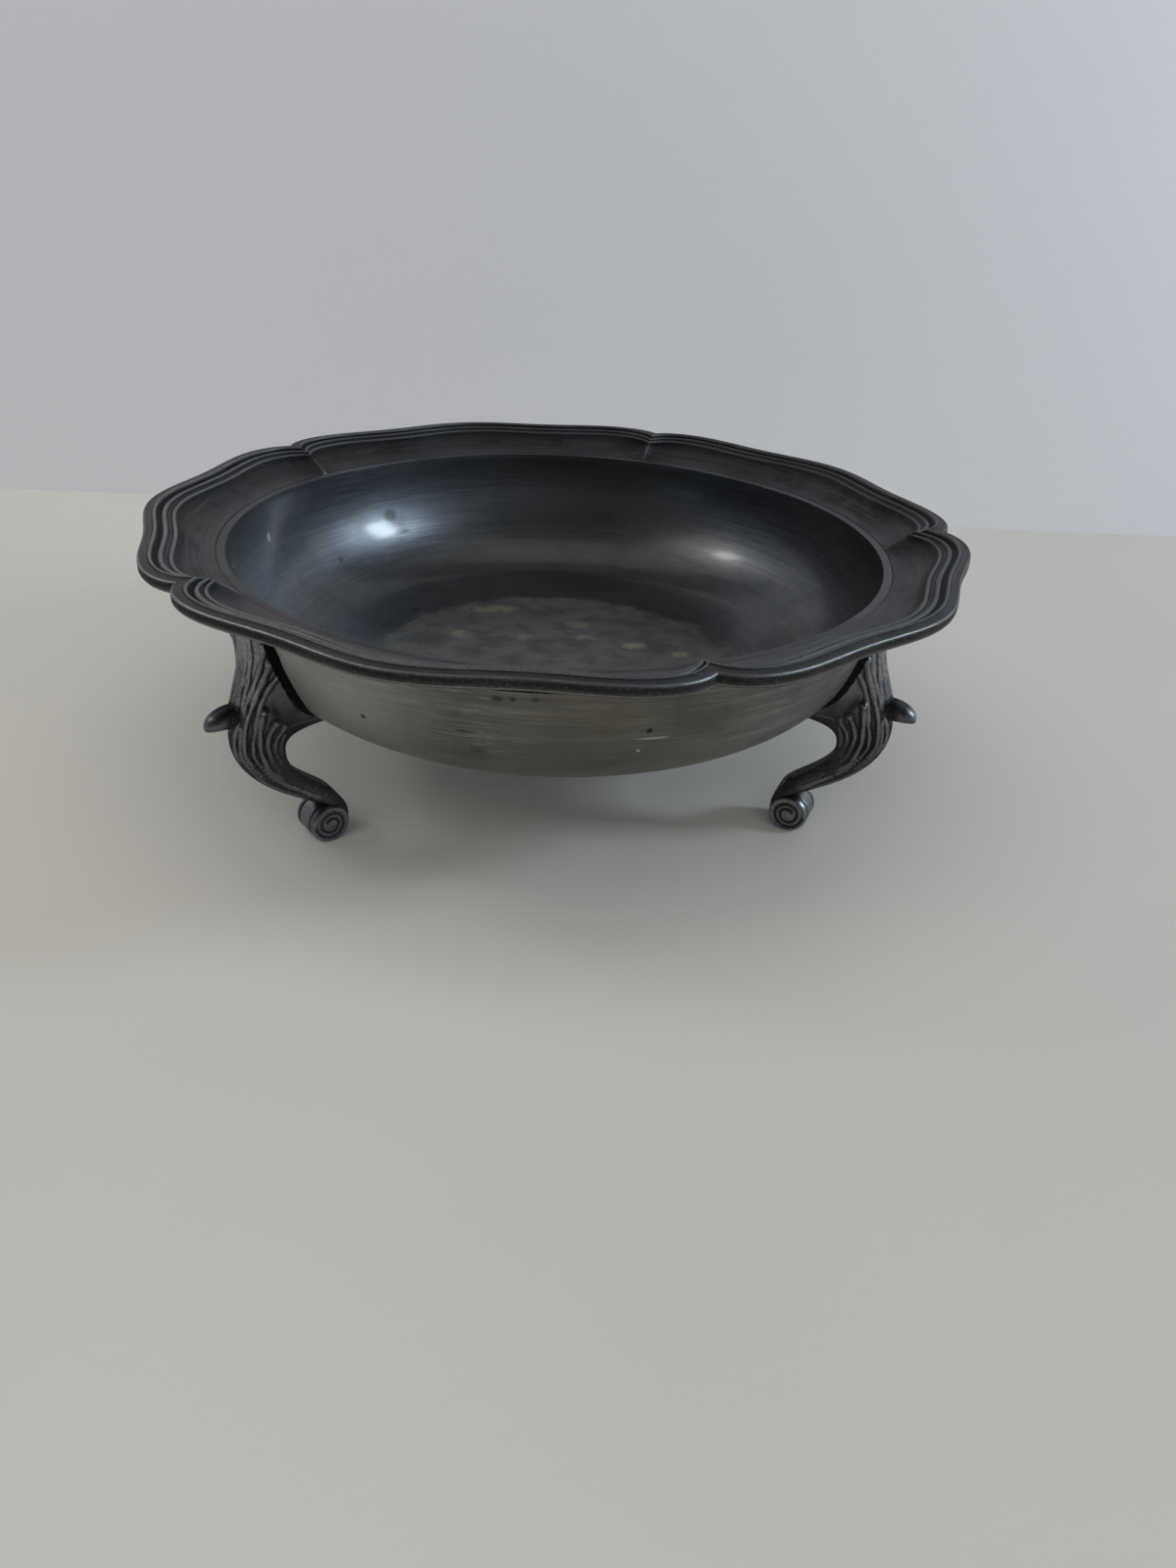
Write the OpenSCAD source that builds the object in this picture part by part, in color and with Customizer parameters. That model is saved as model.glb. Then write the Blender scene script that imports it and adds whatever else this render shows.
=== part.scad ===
// Footed dish in pewter: a turned bowl in a lobed cast rim, standing on three cast scroll legs.
// Millimetres. The Z axis is the axis of the bowl, and Z = 0 is the surface that the feet stand on.

/* [Bowl] */
// Inside radius of the bowl at its lip
bowl_r = 110; // [100:1:125]
// Depth of the bowl inside, from the lip to its flat base
bowl_depth = 46; // [42:1:52]
// Radius of the flat base
base_r = 64; // [56:1:72]
// Thickness of the wall, and width of the flat lip
wall = 3; // [2:0.1:4]
// Squareness of the wall's curve, where 2 is a quarter of an ellipse
wall_curve = 2.4; // [2:0.1:3]
// Depth of the sinking turned in the base
base_sink = 0.4; // [0.1:0.1:1]
// Width of the ledge round that sinking
base_ledge = 2; // [1:0.5:6]
// Height of the lip above the table
lip_h = 88.5; // [84:0.5:105]

/* [Rim] */
// Width of the rim, from the bowl's wall to the mean of its waves
rim_w = 23; // [19:0.5:28]
// Number of lobes
lobes = 5; // [4:1:6]
// Height of the waves along a lobe
wave = 1.9; // [0:0.1:2.5]
// Depth of each notch
notch = 4; // [2:0.1:5]
// How much deeper the inner mouldings point inwards at a notch
cusp = 2.4; // [0:0.1:3]
// Height of the rim's crest above the lip
rim_rise = 7.8; // [6:0.1:10]
// Thickness of the outer edge
edge_t = 2.4; // [1.6:0.1:3]
// Width of the outer band
band_w = 3.7; // [3:0.1:5]
// Width of each bead inside the band
bead_w = 3; // [2:0.1:3.5]
// Depth of the grooves between the beads
groove = 0.7; // [0.3:0.1:1]
// Height of the collar that sits round the bowl's wall
collar_h = 4.5; // [3:0.5:6]
// Thickness of the collar
collar_t = 2.5; // [2:0.1:3]

/* [Legs] */
// Direction of the left leg, from +X towards +Y; 216 puts it under a notch of the rim
leg_turn = 216; // [204:1:228]
// Width of a leg's seat at its top
seat_w = 25; // [18:0.5:30]
// How much the seat swells on each side below that
seat_swell = 4.9; // [2:0.1:6]
// Height of the seat's lower tip above the underside of the bowl
tip_up = 2.8; // [2:0.1:5]
// How far the fan under the rim stands out from the wall
fan_out = 3.2; // [3:0.1:6]
// How far the knee stands out from the wall
knee_out = 9.4; // [7:0.1:11]
// Height of the knee above the seat's lower tip
knee_up = 2.7; // [0:0.1:5]
// How far inside the wall the hollow behind the knee comes
hollow_in = 7.5; // [7:0.5:10]
// Drop from the seat's lower tip to that hollow
hollow_drop = 6.8; // [5.5:0.1:9]
// Width of a leg at its knee
knee_w = 13; // [10:0.5:16]
// Width of a leg at its ankle
ankle_w = 9.6; // [7:0.2:11]
// Reach of the leaf tip that curls out of the knee
leaf_out = 7.6; // [4:0.1:8]
// Height of the leaf tip at its root
leaf_h = 7.4; // [6:0.2:10]

/* [Feet] */
// How far inside the wall the axis of a foot's roll lies
foot_in = 19.5; // [16:0.5:24]
// Diameter of the roll
roll_d = 13.6; // [11:0.2:15]
// Width of the roll
roll_w = 14.5; // [10:0.5:16]
// Depth of the eye sunk in each side of the roll
eye_sink = 0.8; // [0.3:0.1:1.5]
// Depth worn flat under the roll
wear = 0.4; // [0.2:0.1:0.8]

/* [Solder] */
// Thickness of the solder behind a leg
solder_t = 0.4; // [0.2:0.1:0.8]
// Size of the solder fillet under the rim's collar
fillet = 2; // [1:0.1:2.4]
// Clearance between the rim's collar and the bowl
collar_gap = 0.1; // [0.05:0.05:0.2]

/* [Hidden] */
$fn = 96;
legs = 3;
wall_r = bowl_r + wall;
pewter = "dimgray";
dark_pewter = [0.24, 0.24, 0.25];
dull_solder = [0.12, 0.12, 0.12];

// The curve of the bowl: a squared quarter ellipse from the lip (turn 0) to the base (turn 90)
profile_steps = 20;
function curve_point(turn, reach, depth) = [
    base_r + reach * pow(cos(turn), 2 / wall_curve),
    lip_h - depth * pow(sin(turn), 2 / wall_curve)
];
function bowl_curve(reach, depth) = [
    for (i = [0 : profile_steps]) curve_point(90 * i / profile_steps, reach, depth)
];
function backwards(list) = [for (i = [len(list) - 1 : -1 : 0]) list[i]];

// Outside radius of the bowl at a height
function wall_r_at(z) =
    let (share = (lip_h - z) / (bowl_depth + wall))
    base_r + (wall_r - base_r) * pow(1 - pow(share, wall_curve), 1 / wall_curve);

module bowl() {
    inside = bowl_curve(bowl_r - base_r, bowl_depth);
    outside = bowl_curve(wall_r - base_r, bowl_depth + wall);
    base_z = lip_h - bowl_depth;
    sunk = [
        [base_r - base_ledge, base_z],
        [base_r - base_ledge - base_sink, base_z - base_sink],
        [0, base_z - base_sink]
    ];
    underside = [[0, base_z - wall]];
    color(pewter) rotate_extrude() polygon(concat(inside, sunk, underside, backwards(outside)));
}

// Outline of the rim, by the share of the way from a notch (0) to the middle of a lobe (1): the waves
// turn through an angle over that way, and a notch and its cusp fade over a short share of it
wave_turn = 432;
notch_span = 0.07;
cusp_span = 0.06;
function edge_r(share) =
    wall_r + rim_w + wave * cos(wave_turn * (1 - share)) - notch * exp(-share / notch_span);
function cusp_pull(share) = cusp * exp(-share / cusp_span);

// Section of the rim there, from the collar's foot up the bore, over the mouldings and back underneath
marly_steps = 4;
marly_bend = 1.8;
bore_r = wall_r + collar_gap;
bead_step = 1.2;
bead_pull = 0.25;
step_pull = 0.6;
step_slope = 0.33;
edge_round = 0.6;
function rim_section(share) =
    let (
        edge = edge_r(share),
        pull = cusp_pull(share),
        crest = edge - band_w - pull,
        bead = crest - bead_w - bead_pull * pull,
        step = bead - bead_w + step_pull * pull,
        marly_end = step - bead_w * step_slope,
        marly_h = rim_rise - 2 * bead_step - 2 * groove,
        marly = [
            for (i = [0 : marly_steps])
                let (t = i / marly_steps)
                [bore_r + (marly_end - bore_r) * t, marly_h * pow(t, marly_bend)]
        ],
        mouldings = [
            [step, rim_rise - 2 * bead_step],
            [(step + bead) / 2, rim_rise - 2 * bead_step - groove],
            [bead, rim_rise - bead_step],
            [(bead + crest) / 2, rim_rise - bead_step - groove],
            [crest, rim_rise],
            [edge - 2 * edge_round, rim_rise - edge_round],
            [edge, rim_rise - 2 * edge_round],
            [edge, rim_rise - 2 * edge_round - edge_t],
            [edge - edge_round, rim_rise - 3 * edge_round - edge_t],
            [bead, rim_rise - 4 * edge_round - edge_t],
            [bore_r + 2 * collar_t, -collar_t / 2],
            [bore_r + collar_t, -collar_h]
        ]
    )
    concat([[bore_r, -collar_h]], marly, mouldings);

// Steps along half a lobe, closer together near the notch, and mirrored for the other half
half_steps = 12;
step_bias = 1.8;
half_shares = [for (i = [0 : half_steps]) pow(i / half_steps, step_bias)];
function lobe_angle(share, side) = side * share * 180 / lobes;
rim_stops = [
    for (k = [0 : lobes - 1])
        for (i = [1 - half_steps : half_steps])
            [360 * k / lobes + lobe_angle(half_shares[abs(i)], sign(i)), half_shares[abs(i)]]
];

// A closed band of triangles round a ring of sections, each with the same number of points
function band_faces(rings, points, closed) = [
    for (i = [0 : rings - (closed ? 1 : 2)])
        for (j = [0 : points - 1])
            let (
                a = i * points + j,
                b = i * points + (j + 1) % points,
                c = ((i + 1) % rings) * points + (j + 1) % points,
                d = ((i + 1) % rings) * points + j
            )
            each [[a, b, c], [a, c, d]]
];

// The same for an open band, with each end closed by the faces of a cap
function tube_faces(rings, points, cap) = concat(
    band_faces(rings, points, false),
    [for (face = cap) backwards(face)],
    [for (face = cap) [for (i = face) i + (rings - 1) * points]]
);

module rim() {
    sections = [
        for (stop = rim_stops)
            [
                for (p = backwards(rim_section(stop[1])))
                    [p[0] * cos(stop[0]), p[0] * sin(stop[0]), lip_h + p[1]]
            ]
    ];
    faces = band_faces(len(sections), len(sections[0]), true);
    color(dark_pewter) polyhedron(points = [for (s = sections) each s], faces = faces);
}

module rim_solder() {
    foot_z = lip_h - collar_h;
    color(dull_solder)
        rotate_extrude()
            polygon([
                [wall_r_at(foot_z), foot_z],
                [wall_r_at(foot_z - fillet), foot_z - fillet],
                [bore_r + fillet, foot_z]
            ]);
}

// Points on a cubic curve
function cubic(p, t) =
    pow(1 - t, 3) * p[0] + 3 * pow(1 - t, 2) * t * p[1] + 3 * (1 - t) * t * t * p[2] + pow(t, 3) * p[3];
function mix(a, b, t) = a + (b - a) * t;

// A leg's side view, with the distance from the bowl's axis first and the height second
seat_gap = 0.5;
roll_bite = 0.6;
roll_r = roll_d / 2;
fan = [wall_r + fan_out, lip_h - collar_h - fillet - seat_gap];
tip_z = lip_h - bowl_depth - wall + tip_up;
tip = [wall_r_at(tip_z) + solder_t, tip_z];
knee = [wall_r + knee_out, tip_z + knee_up];
hollow = [wall_r - hollow_in, tip_z - hollow_drop];
roll_axis = [wall_r - foot_in, roll_r - wear];
roll_top = roll_axis + [roll_bite, roll_r - roll_bite];
roll_back = roll_axis + [roll_bite - roll_r, 0];

// Its curves: the handle of a curve's end moves sideways by the first number of its pull, and up or
// down by the second, which is a share of the height to the curve's other end
fan_pull = [-6, 0.32];
knee_rise = [-1.8, 0.4];
knee_fall = [0.9, 0.52];
roll_top_pull = [11, 0.15];
tip_pull = [16, 0.05];
hollow_rise = [0, 0.75];
hollow_fall = [-0.5, 0.44];
roll_back_pull = [-3.2, 0.48];
function handle(end, other, pull) = [end[0] + pull[0], mix(end[1], other[1], pull[1])];
function side_curve(start, end, start_pull, end_pull) =
    [start, handle(start, end, start_pull), handle(end, start, end_pull), end];
front_above = side_curve(fan, knee, fan_pull, knee_rise);
front_below = side_curve(knee, roll_top, knee_fall, roll_top_pull);
back_to_hollow = side_curve(tip, hollow, tip_pull, hollow_rise);
back_to_roll = side_curve(hollow, roll_back, hollow_fall, roll_back_pull);
hollow_share = 0.36;
function back_below(t) =
    t < hollow_share
    ? cubic(back_to_hollow, t / hollow_share)
    : cubic(back_to_roll, (t - hollow_share) / (1 - hollow_share));

// Half widths of a leg: at its back on the seat, at its back below it, and across its front
seat_point = 0.8;
seat_taper = 2.6;
swell_bias = 1.3;
fan_share = 0.36;
back_share = 0.33;
ankle_at = 0.7;
ankle_taper = 0.8;
function seat_half(t) =
    mix(seat_w / 2, seat_point, pow(t, seat_taper)) + seat_swell * sin(180 * pow(t, swell_bias));
function back_half(t) = mix(seat_point, ankle_w * back_share, min(1, t / hollow_share));
function above_half(t) = mix(seat_w * fan_share, knee_w / 2, t);
function below_half(t) = mix(knee_w / 2, ankle_w / 2, pow(min(1, t / ankle_at), ankle_taper));

// One section of a leg: its back edge first, then round its front, with the leaf tip drawn out of it
// over a spread of degrees either side of the middle and curled down by a share of its reach
back_points = 4;
front_points = 16;
leaf_up = 5.6;
leaf_z = knee[1] + leaf_up;
leaf_spread = 42;
leaf_curl = 0.2;
leaf_round = 3;
function leaf_at(z) =
    let (off = abs(z - leaf_z) * 2 / leaf_h)
    leaf_out * pow(max(0, 1 - pow(off, leaf_round)), 1 / leaf_round);
function leg_section(front, back, half, half_back, seated) = concat(
    [
        for (i = [0 : back_points])
            let (y = mix(half_back, -half_back, i / back_points))
            [seated ? sqrt(back[0] * back[0] - y * y) : back[0], y, back[1]]
    ],
    [
        for (i = [1 : front_points - 1])
            let (
                turn = 180 * i / front_points,
                deep = sin(turn),
                y = -cos(turn) * mix(half_back, half, deep),
                flat = mix(back, front, deep),
                pull = leaf_at(flat[1]) * max(0, 1 - pow((turn - 90) / leaf_spread, 2))
            )
            [flat[0] + pull, y, flat[1] - pull * leaf_curl]
    ]
);

// Stations down a leg: those above the tip lie on the bowl, and those below it swing in to the roll
above_steps = 15;
below_steps = 15;
above_bias = 1.6;
above_shares = [for (i = [0 : above_steps]) 1 - pow(1 - i / above_steps, above_bias)];
function seat_z(t) = mix(fan[1], tip_z, t);
function seat_station(t, gap) = [wall_r_at(seat_z(t)) + gap, seat_z(t)];
leg_sections = concat(
    [
        for (t = above_shares)
            let (back = seat_station(t, solder_t))
            leg_section(cubic(front_above, t), back, above_half(t), seat_half(t), true)
    ],
    [
        for (i = [1 : below_steps])
            let (t = i / below_steps)
            leg_section(cubic(front_below, t), back_below(t), below_half(t), back_half(t), false)
    ]
);

// The roll of a foot, with a sunk ring round a boss in each side
eye_share = 0.6;
boss_share = 0.3;
module roll() {
    eye_r = roll_r * eye_share;
    boss_r = roll_r * boss_share;
    translate([roll_axis[0], 0, roll_axis[1]])
        rotate([90, 0, 0])
            difference() {
                cylinder(r = roll_r, h = roll_w, center = true);
                for (side = [-1, 1])
                    translate([0, 0, side * roll_w / 2])
                        difference() {
                            cylinder(r = eye_r, h = 2 * eye_sink, center = true);
                            cylinder(r = boss_r, h = 3 * eye_sink, center = true);
                        }
            }
}

module leg(number) {
    points = len(leg_sections[0]);
    middle = back_points + front_points / 2;
    cap = [
        for (j = [0 : points - 1])
            let (k = (j + 1) % points)
            if (j != middle && k != middle) [middle, j, k]
    ];
    faces = tube_faces(len(leg_sections), points, cap);
    color(dark_pewter)
        rotate([0, 0, leg_turn + 360 / legs * number])
            difference() {
                union() {
                    polyhedron(points = [for (s = leg_sections) each s], faces = faces);
                    roll();
                }
                translate([roll_axis[0], 0, -roll_d]) cube(2 * roll_d, center = true);
            }
}

// The solder behind a leg, from the leg's back to just clear of the bowl
solder_clear = 0.05;
function solder_row(t, gap, side) =
    let (place = seat_station(t, gap))
    [
        for (i = [0 : back_points])
            let (y = side * mix(-seat_half(t), seat_half(t), i / back_points))
            [sqrt(place[0] * place[0] - y * y), y, place[1]]
    ];

module leg_solder(number) {
    rings = [for (t = above_shares) concat(solder_row(t, solder_t, 1), solder_row(t, solder_clear, -1))];
    cap = [[for (j = [0 : len(rings[0]) - 1]) j]];
    faces = tube_faces(len(rings), len(rings[0]), cap);
    color(dull_solder)
        rotate([0, 0, leg_turn + 360 / legs * number])
            polyhedron(points = [for (r = rings) each r], faces = faces);
}

module left_leg() { leg(0); }
module right_leg() { leg(1); }
module back_leg() { leg(2); }
module left_leg_solder() { leg_solder(0); }
module right_leg_solder() { leg_solder(1); }
module back_leg_solder() { leg_solder(2); }

bowl();
rim();
rim_solder();
left_leg();
right_leg();
back_leg();
left_leg_solder();
right_leg_solder();
back_leg_solder();
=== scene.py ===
"""Footed pewter dish: a turned bowl in a lobed cast rim, on three cast scroll legs."""

import logging
import math
from dataclasses import dataclass
from enum import Enum
from typing import Callable, Sequence

import bpy
import numpy as np
from mathutils import Matrix, Vector


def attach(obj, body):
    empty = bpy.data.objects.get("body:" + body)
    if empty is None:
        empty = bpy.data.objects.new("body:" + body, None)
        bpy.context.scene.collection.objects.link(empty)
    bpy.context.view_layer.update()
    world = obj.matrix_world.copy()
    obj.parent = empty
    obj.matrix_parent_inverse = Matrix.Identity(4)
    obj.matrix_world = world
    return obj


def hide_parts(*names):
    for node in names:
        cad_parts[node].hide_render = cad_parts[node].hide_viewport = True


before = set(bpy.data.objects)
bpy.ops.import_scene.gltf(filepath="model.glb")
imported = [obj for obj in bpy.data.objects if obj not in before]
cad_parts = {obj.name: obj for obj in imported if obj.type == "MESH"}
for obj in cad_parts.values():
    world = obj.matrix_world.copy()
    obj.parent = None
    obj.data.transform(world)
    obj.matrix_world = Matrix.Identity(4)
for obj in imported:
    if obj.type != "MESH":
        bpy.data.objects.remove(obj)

LOG = logging.getLogger("dish")
MM = 0.001
TINY = 1e-9
FULL_TURN = 2 * math.pi

Colour = tuple[float, float, float]
Place = tuple[float, float, float]
Point = tuple[float, float]
Number = float | np.ndarray


class Slot(Enum):
    """Material slots of the part."""

    TURNED = "turned_pewter"
    RIM = "rim_pewter"
    LEG = "leg_pewter"
    SOLDER = "solder"


class LegPlace(Enum):
    """Legs by name, each with its number round the bowl."""

    LEFT = 0
    RIGHT = 1
    BACK = 2


class Mark(Enum):
    """Marks on a casting, each kept at the points of its mesh: wear, dirt and tarnish; the dirt
    mark also carries painted shade, and the wear mark painted sheen and shade.
    """

    # wear also carries painted sheen, and painted shade where it is cut back
    WEAR = "wear"
    # dirt also carries painted shade
    DIRT = "dirt"
    TARNISH = "tarnish"


def mix(a: Number, b: Number, share: Number) -> Number:
    """Return the value a share of the way from a to b."""
    return a + (b - a) * share


def smooth_step(low: float, high: float, value: Number) -> Number:
    """Return 0 below low, 1 above high and a smooth way between; low may be the larger."""
    share = np.clip((value - low) / (high - low), 0.0, 1.0)
    return share * share * (3 - 2 * share)


def hump(value: Number, middle: Number, width: float) -> Number:
    """Return a smooth hump, 1 at its middle and nearly 0 at twice its width."""
    return np.exp(-(((value - middle) / width) ** 2))


def round_off(share: Number, power: float) -> Number:
    """Return a curve that falls from 1 to 0, fuller with a larger power."""
    return np.maximum(1 - share**power, 0.0) ** (1 / power)


def curve_through(stops: np.ndarray, count: int) -> np.ndarray:
    """Return points along a smooth curve through stops.

    Args:
        stops: Points that the curve goes through, one to a row.
        count: Number of points to return.

    Returns:
        The points, one to a row.
    """
    path = np.vstack([2 * stops[0] - stops[1], stops, 2 * stops[-1] - stops[-2]])
    spot = np.linspace(0.0, len(stops) - 1 - TINY, count)
    i = spot.astype(int)
    t = (spot - i)[:, None]
    a, b, c, d = path[i], path[i + 1], path[i + 2], path[i + 3]
    bend = 2 * a - 5 * b + 4 * c - d
    return 0.5 * (2 * b + (c - a) * t + bend * t**2 + (3 * b - a - 3 * c + d) * t**3)


# Shading


class Wire:
    """One output of a node, with the arithmetic of Math nodes."""

    def __init__(self, graph: "Graph", socket: bpy.types.NodeSocket) -> None:
        """Keep the graph and the output.

        Args:
            graph: Graph that the node is in.
            socket: Output of the node.
        """
        self.graph = graph
        self.socket = socket

    def math(self, operation: str, *others: "Wire | float") -> "Wire":
        """Add a Math node whose first value is this output.

        Args:
            operation: Operation of the Math node.
            others: Its other values.

        Returns:
            Output of the Math node.
        """
        return self.graph.math(operation, self, *others)

    def __add__(self, other: "Wire | float") -> "Wire":
        """Return the sum."""
        return self.math("ADD", other)

    def __radd__(self, other: float) -> "Wire":
        """Return the sum."""
        return self.math("ADD", other)

    def __sub__(self, other: "Wire | float") -> "Wire":
        """Return the difference."""
        return self.math("SUBTRACT", other)

    def __rsub__(self, other: float) -> "Wire":
        """Return the difference the other way round."""
        return self.graph.math("SUBTRACT", other, self)

    def __mul__(self, other: "Wire | float") -> "Wire":
        """Return the product."""
        return self.math("MULTIPLY", other)

    def __rmul__(self, other: float) -> "Wire":
        """Return the product."""
        return self.math("MULTIPLY", other)

    def __truediv__(self, other: "Wire | float") -> "Wire":
        """Return the quotient."""
        return self.math("DIVIDE", other)

    def __rtruediv__(self, other: float) -> "Wire":
        """Return the quotient the other way round."""
        return self.graph.math("DIVIDE", other, self)

    def __pow__(self, other: "Wire | float") -> "Wire":
        """Return the power."""
        return self.math("POWER", other)

    def band(self, low: float, high: float) -> "Wire":
        """Return 0 below low, 1 above high, and a smooth way between; low may be the larger.

        Args:
            low: Value that gives 0.
            high: Value that gives 1.

        Returns:
            Output of a Map Range node.
        """
        node = self.graph.node(
            "ShaderNodeMapRange",
            {"interpolation_type": "SMOOTHSTEP", "clamp": True},
            {"Value": self, "From Min": low, "From Max": high},
        )
        return node("Result")

    def clamp(self) -> "Wire":
        """Return the value held between 0 and 1."""
        return self.graph.node("ShaderNodeClamp", {}, {"Value": self})("Result")


class Graph:
    """Node tree of one material, world or lamp."""

    def __init__(self, tree: bpy.types.NodeTree) -> None:
        """Start from an empty tree.

        Args:
            tree: Node tree to fill.
        """
        self.tree = tree
        tree.nodes.clear()

    def node(self, kind: str, settings: dict, inputs: dict) -> Callable[[str | int], Wire]:
        """Add a node: its settings first, then its inputs.

        Args:
            kind: Type of the node.
            settings: Settings by name.
            inputs: Values or wires by the name or number of the input.

        Returns:
            Function from the name or number of an output to its wire.
        """
        node = self.tree.nodes.new(kind)
        for name, value in settings.items():
            setattr(node, name, value)
        for name, value in inputs.items():
            socket = node.inputs[name]
            if isinstance(value, Wire):
                self.tree.links.new(value.socket, socket)
            elif isinstance(value, tuple) and len(value) == 3 and socket.type == "RGBA":
                socket.default_value = (*value, 1.0)
            else:
                socket.default_value = value
        return lambda output: Wire(self, node.outputs[output])

    def math(self, operation: str, *values: Wire | float) -> Wire:
        """Add a Math node.

        Args:
            operation: Operation of the node.
            values: Its values, as wires or numbers.

        Returns:
            Its output.
        """
        inputs = dict(enumerate(values))
        return self.node("ShaderNodeMath", {"operation": operation}, inputs)("Value")

    def vector(self, operation: str, *values: Wire | Sequence[float]) -> Wire:
        """Add a Vector Math node.

        Args:
            operation: Operation of the node.
            values: Its vectors.

        Returns:
            Its vector output.
        """
        inputs = dict(enumerate(values))
        return self.node("ShaderNodeVectorMath", {"operation": operation}, inputs)("Vector")

    def blend(self, share: Wire | float, first: Wire | Colour, second: Wire | Colour) -> Wire:
        """Mix two colours.

        Args:
            share: Share of the second colour.
            first: First colour.
            second: Second colour.

        Returns:
            The mixed colour.
        """
        node = self.node(
            "ShaderNodeMix", {"data_type": "RGBA"}, {"Factor": share, 6: first, 7: second}
        )
        return node(2)

    def noise(self, place: Wire, scale: float, detail: float = 2.0, rough: float = 0.5) -> Wire:
        """Add a noise texture.

        Args:
            place: Coordinates.
            scale: Scale of the texture.
            detail: Number of octaves.
            rough: Roughness of the octaves.

        Returns:
            Its value, about 0.5.
        """
        node = self.node(
            "ShaderNodeTexNoise",
            {},
            {"Vector": place, "Scale": scale, "Detail": detail, "Roughness": rough},
        )
        return node(0)

    def spots(
        self, place: Wire, scale: float, size: float, share: float, core: float = 0.3
    ) -> Wire:
        """Scatter round spots, each 1 in its core and 0 at its edge.

        Args:
            place: Coordinates.
            scale: Cells to a unit.
            size: Radius of a spot, in cells.
            share: Share of the cells that hold a spot.
            core: Radius of the core, as a share of the spot's.

        Returns:
            The spots.
        """
        cells = self.node("ShaderNodeTexVoronoi", {}, {"Vector": place, "Scale": scale})
        chosen = self.node("ShaderNodeSeparateColor", {}, {0: cells("Color")})(0)
        return cells("Distance").band(size, size * core) * chosen.math("LESS_THAN", share)

    def mark(self, mark: Mark) -> Wire:
        """Return a mark of the mesh."""
        return self.node("ShaderNodeAttribute", {"attribute_name": mark.value}, {})("Fac")

    def fleck(self, place: Wire, middle: Place, size: Place, core: float = 0.45) -> Wire:
        """Put one soft-edged fleck at a place.

        Args:
            place: Coordinates.
            middle: Middle of the fleck.
            size: Its half lengths along the axes.
            core: Size of its core, as a share of its own.

        Returns:
            The fleck, 1 in its core and 0 outside it.
        """
        off = self.vector("DIVIDE", self.vector("SUBTRACT", place, middle), size)
        far = self.node("ShaderNodeVectorMath", {"operation": "LENGTH"}, {0: off})("Value")
        return far.band(1.0, core)

    def place(self) -> Wire:
        """Return the coordinates of the object, in metres."""
        return self.node("ShaderNodeTexCoord", {}, {})("Object")

    def split(self, place: Wire) -> tuple[Wire, Wire, Wire]:
        """Return the x, y and z of coordinates."""
        parts = self.node("ShaderNodeSeparateXYZ", {}, {0: place})
        return parts(0), parts(1), parts(2)

    @staticmethod
    def from_axis(x: Wire, y: Wire) -> Wire:
        """Return the distance from the Z axis, never quite 0."""
        return (x * x + y * y + 10 * TINY).math("SQRT")

    def lines(
        self,
        turn: tuple[Wire, Wire],
        run: Wire,
        short: float,
        count: float,
        detail: float,
        rough: float = 0.5,
    ) -> Wire:
        """Add noise drawn out into lines round the Z axis.

        Args:
            turn: Cosine and sine of the place round the axis.
            run: Place along the section, in metres.
            short: How short the lines are.
            count: Lines to a metre of the section.
            detail: Number of octaves.
            rough: Roughness of the octaves.

        Returns:
            Its value, about 0.5.
        """
        x, y = turn
        drawn = {0: x * short, 1: y * short, 2: run * count}
        return self.noise(self.node("ShaderNodeCombineXYZ", {}, drawn)(0), 1.0, detail, rough)

    def layers(self, ground: Colour, layers: Sequence[tuple[Wire, Colour]]) -> Wire:
        """Lay colours over a ground.

        Args:
            ground: Colour of the ground.
            layers: Share and colour of each layer, the lowest first.

        Returns:
            The colour.
        """
        colour = ground
        for share, over in layers:
            colour = self.blend(share, colour, over)
        return colour

    def bump(self, height: Wire, depth: float, strength: float = 1.0) -> Wire:
        """Turn a height into a normal.

        Args:
            height: Height, from 0 to 1.
            depth: Depth of the relief, in metres.
            strength: Strength of the bump.

        Returns:
            The normal.
        """
        inputs = {"Height": height, "Distance": depth, "Strength": strength}
        return self.node("ShaderNodeBump", {}, inputs)("Normal")

    def surface(self, settings: dict) -> None:
        """Close the tree with a Principled surface.

        Args:
            settings: Inputs of the surface.
        """
        shader = self.node("ShaderNodeBsdfPrincipled", {}, settings)
        self.node("ShaderNodeOutputMaterial", {}, {"Surface": shader(0)})


def new_material(name: str) -> tuple[bpy.types.Material, Graph]:
    """Make a material with an empty tree.

    Args:
        name: Name of the material.

    Returns:
        The material and its graph.
    """
    material = bpy.data.materials.new(name)
    material.use_nodes = True
    return material, Graph(material.node_tree)


class Flaw(Enum):
    """Kinds of flaw in the bowl's surface."""

    PIT = "dark"
    SCRATCH = "bright"
    STAIN = "yellowish"


@dataclass(frozen=True)
class Fleck:
    """One flaw in the bowl's surface, in metres: its middle, half lengths, strength and kind."""

    middle: Place
    size: Place
    strength: float
    kind: Flaw = Flaw.PIT


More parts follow.
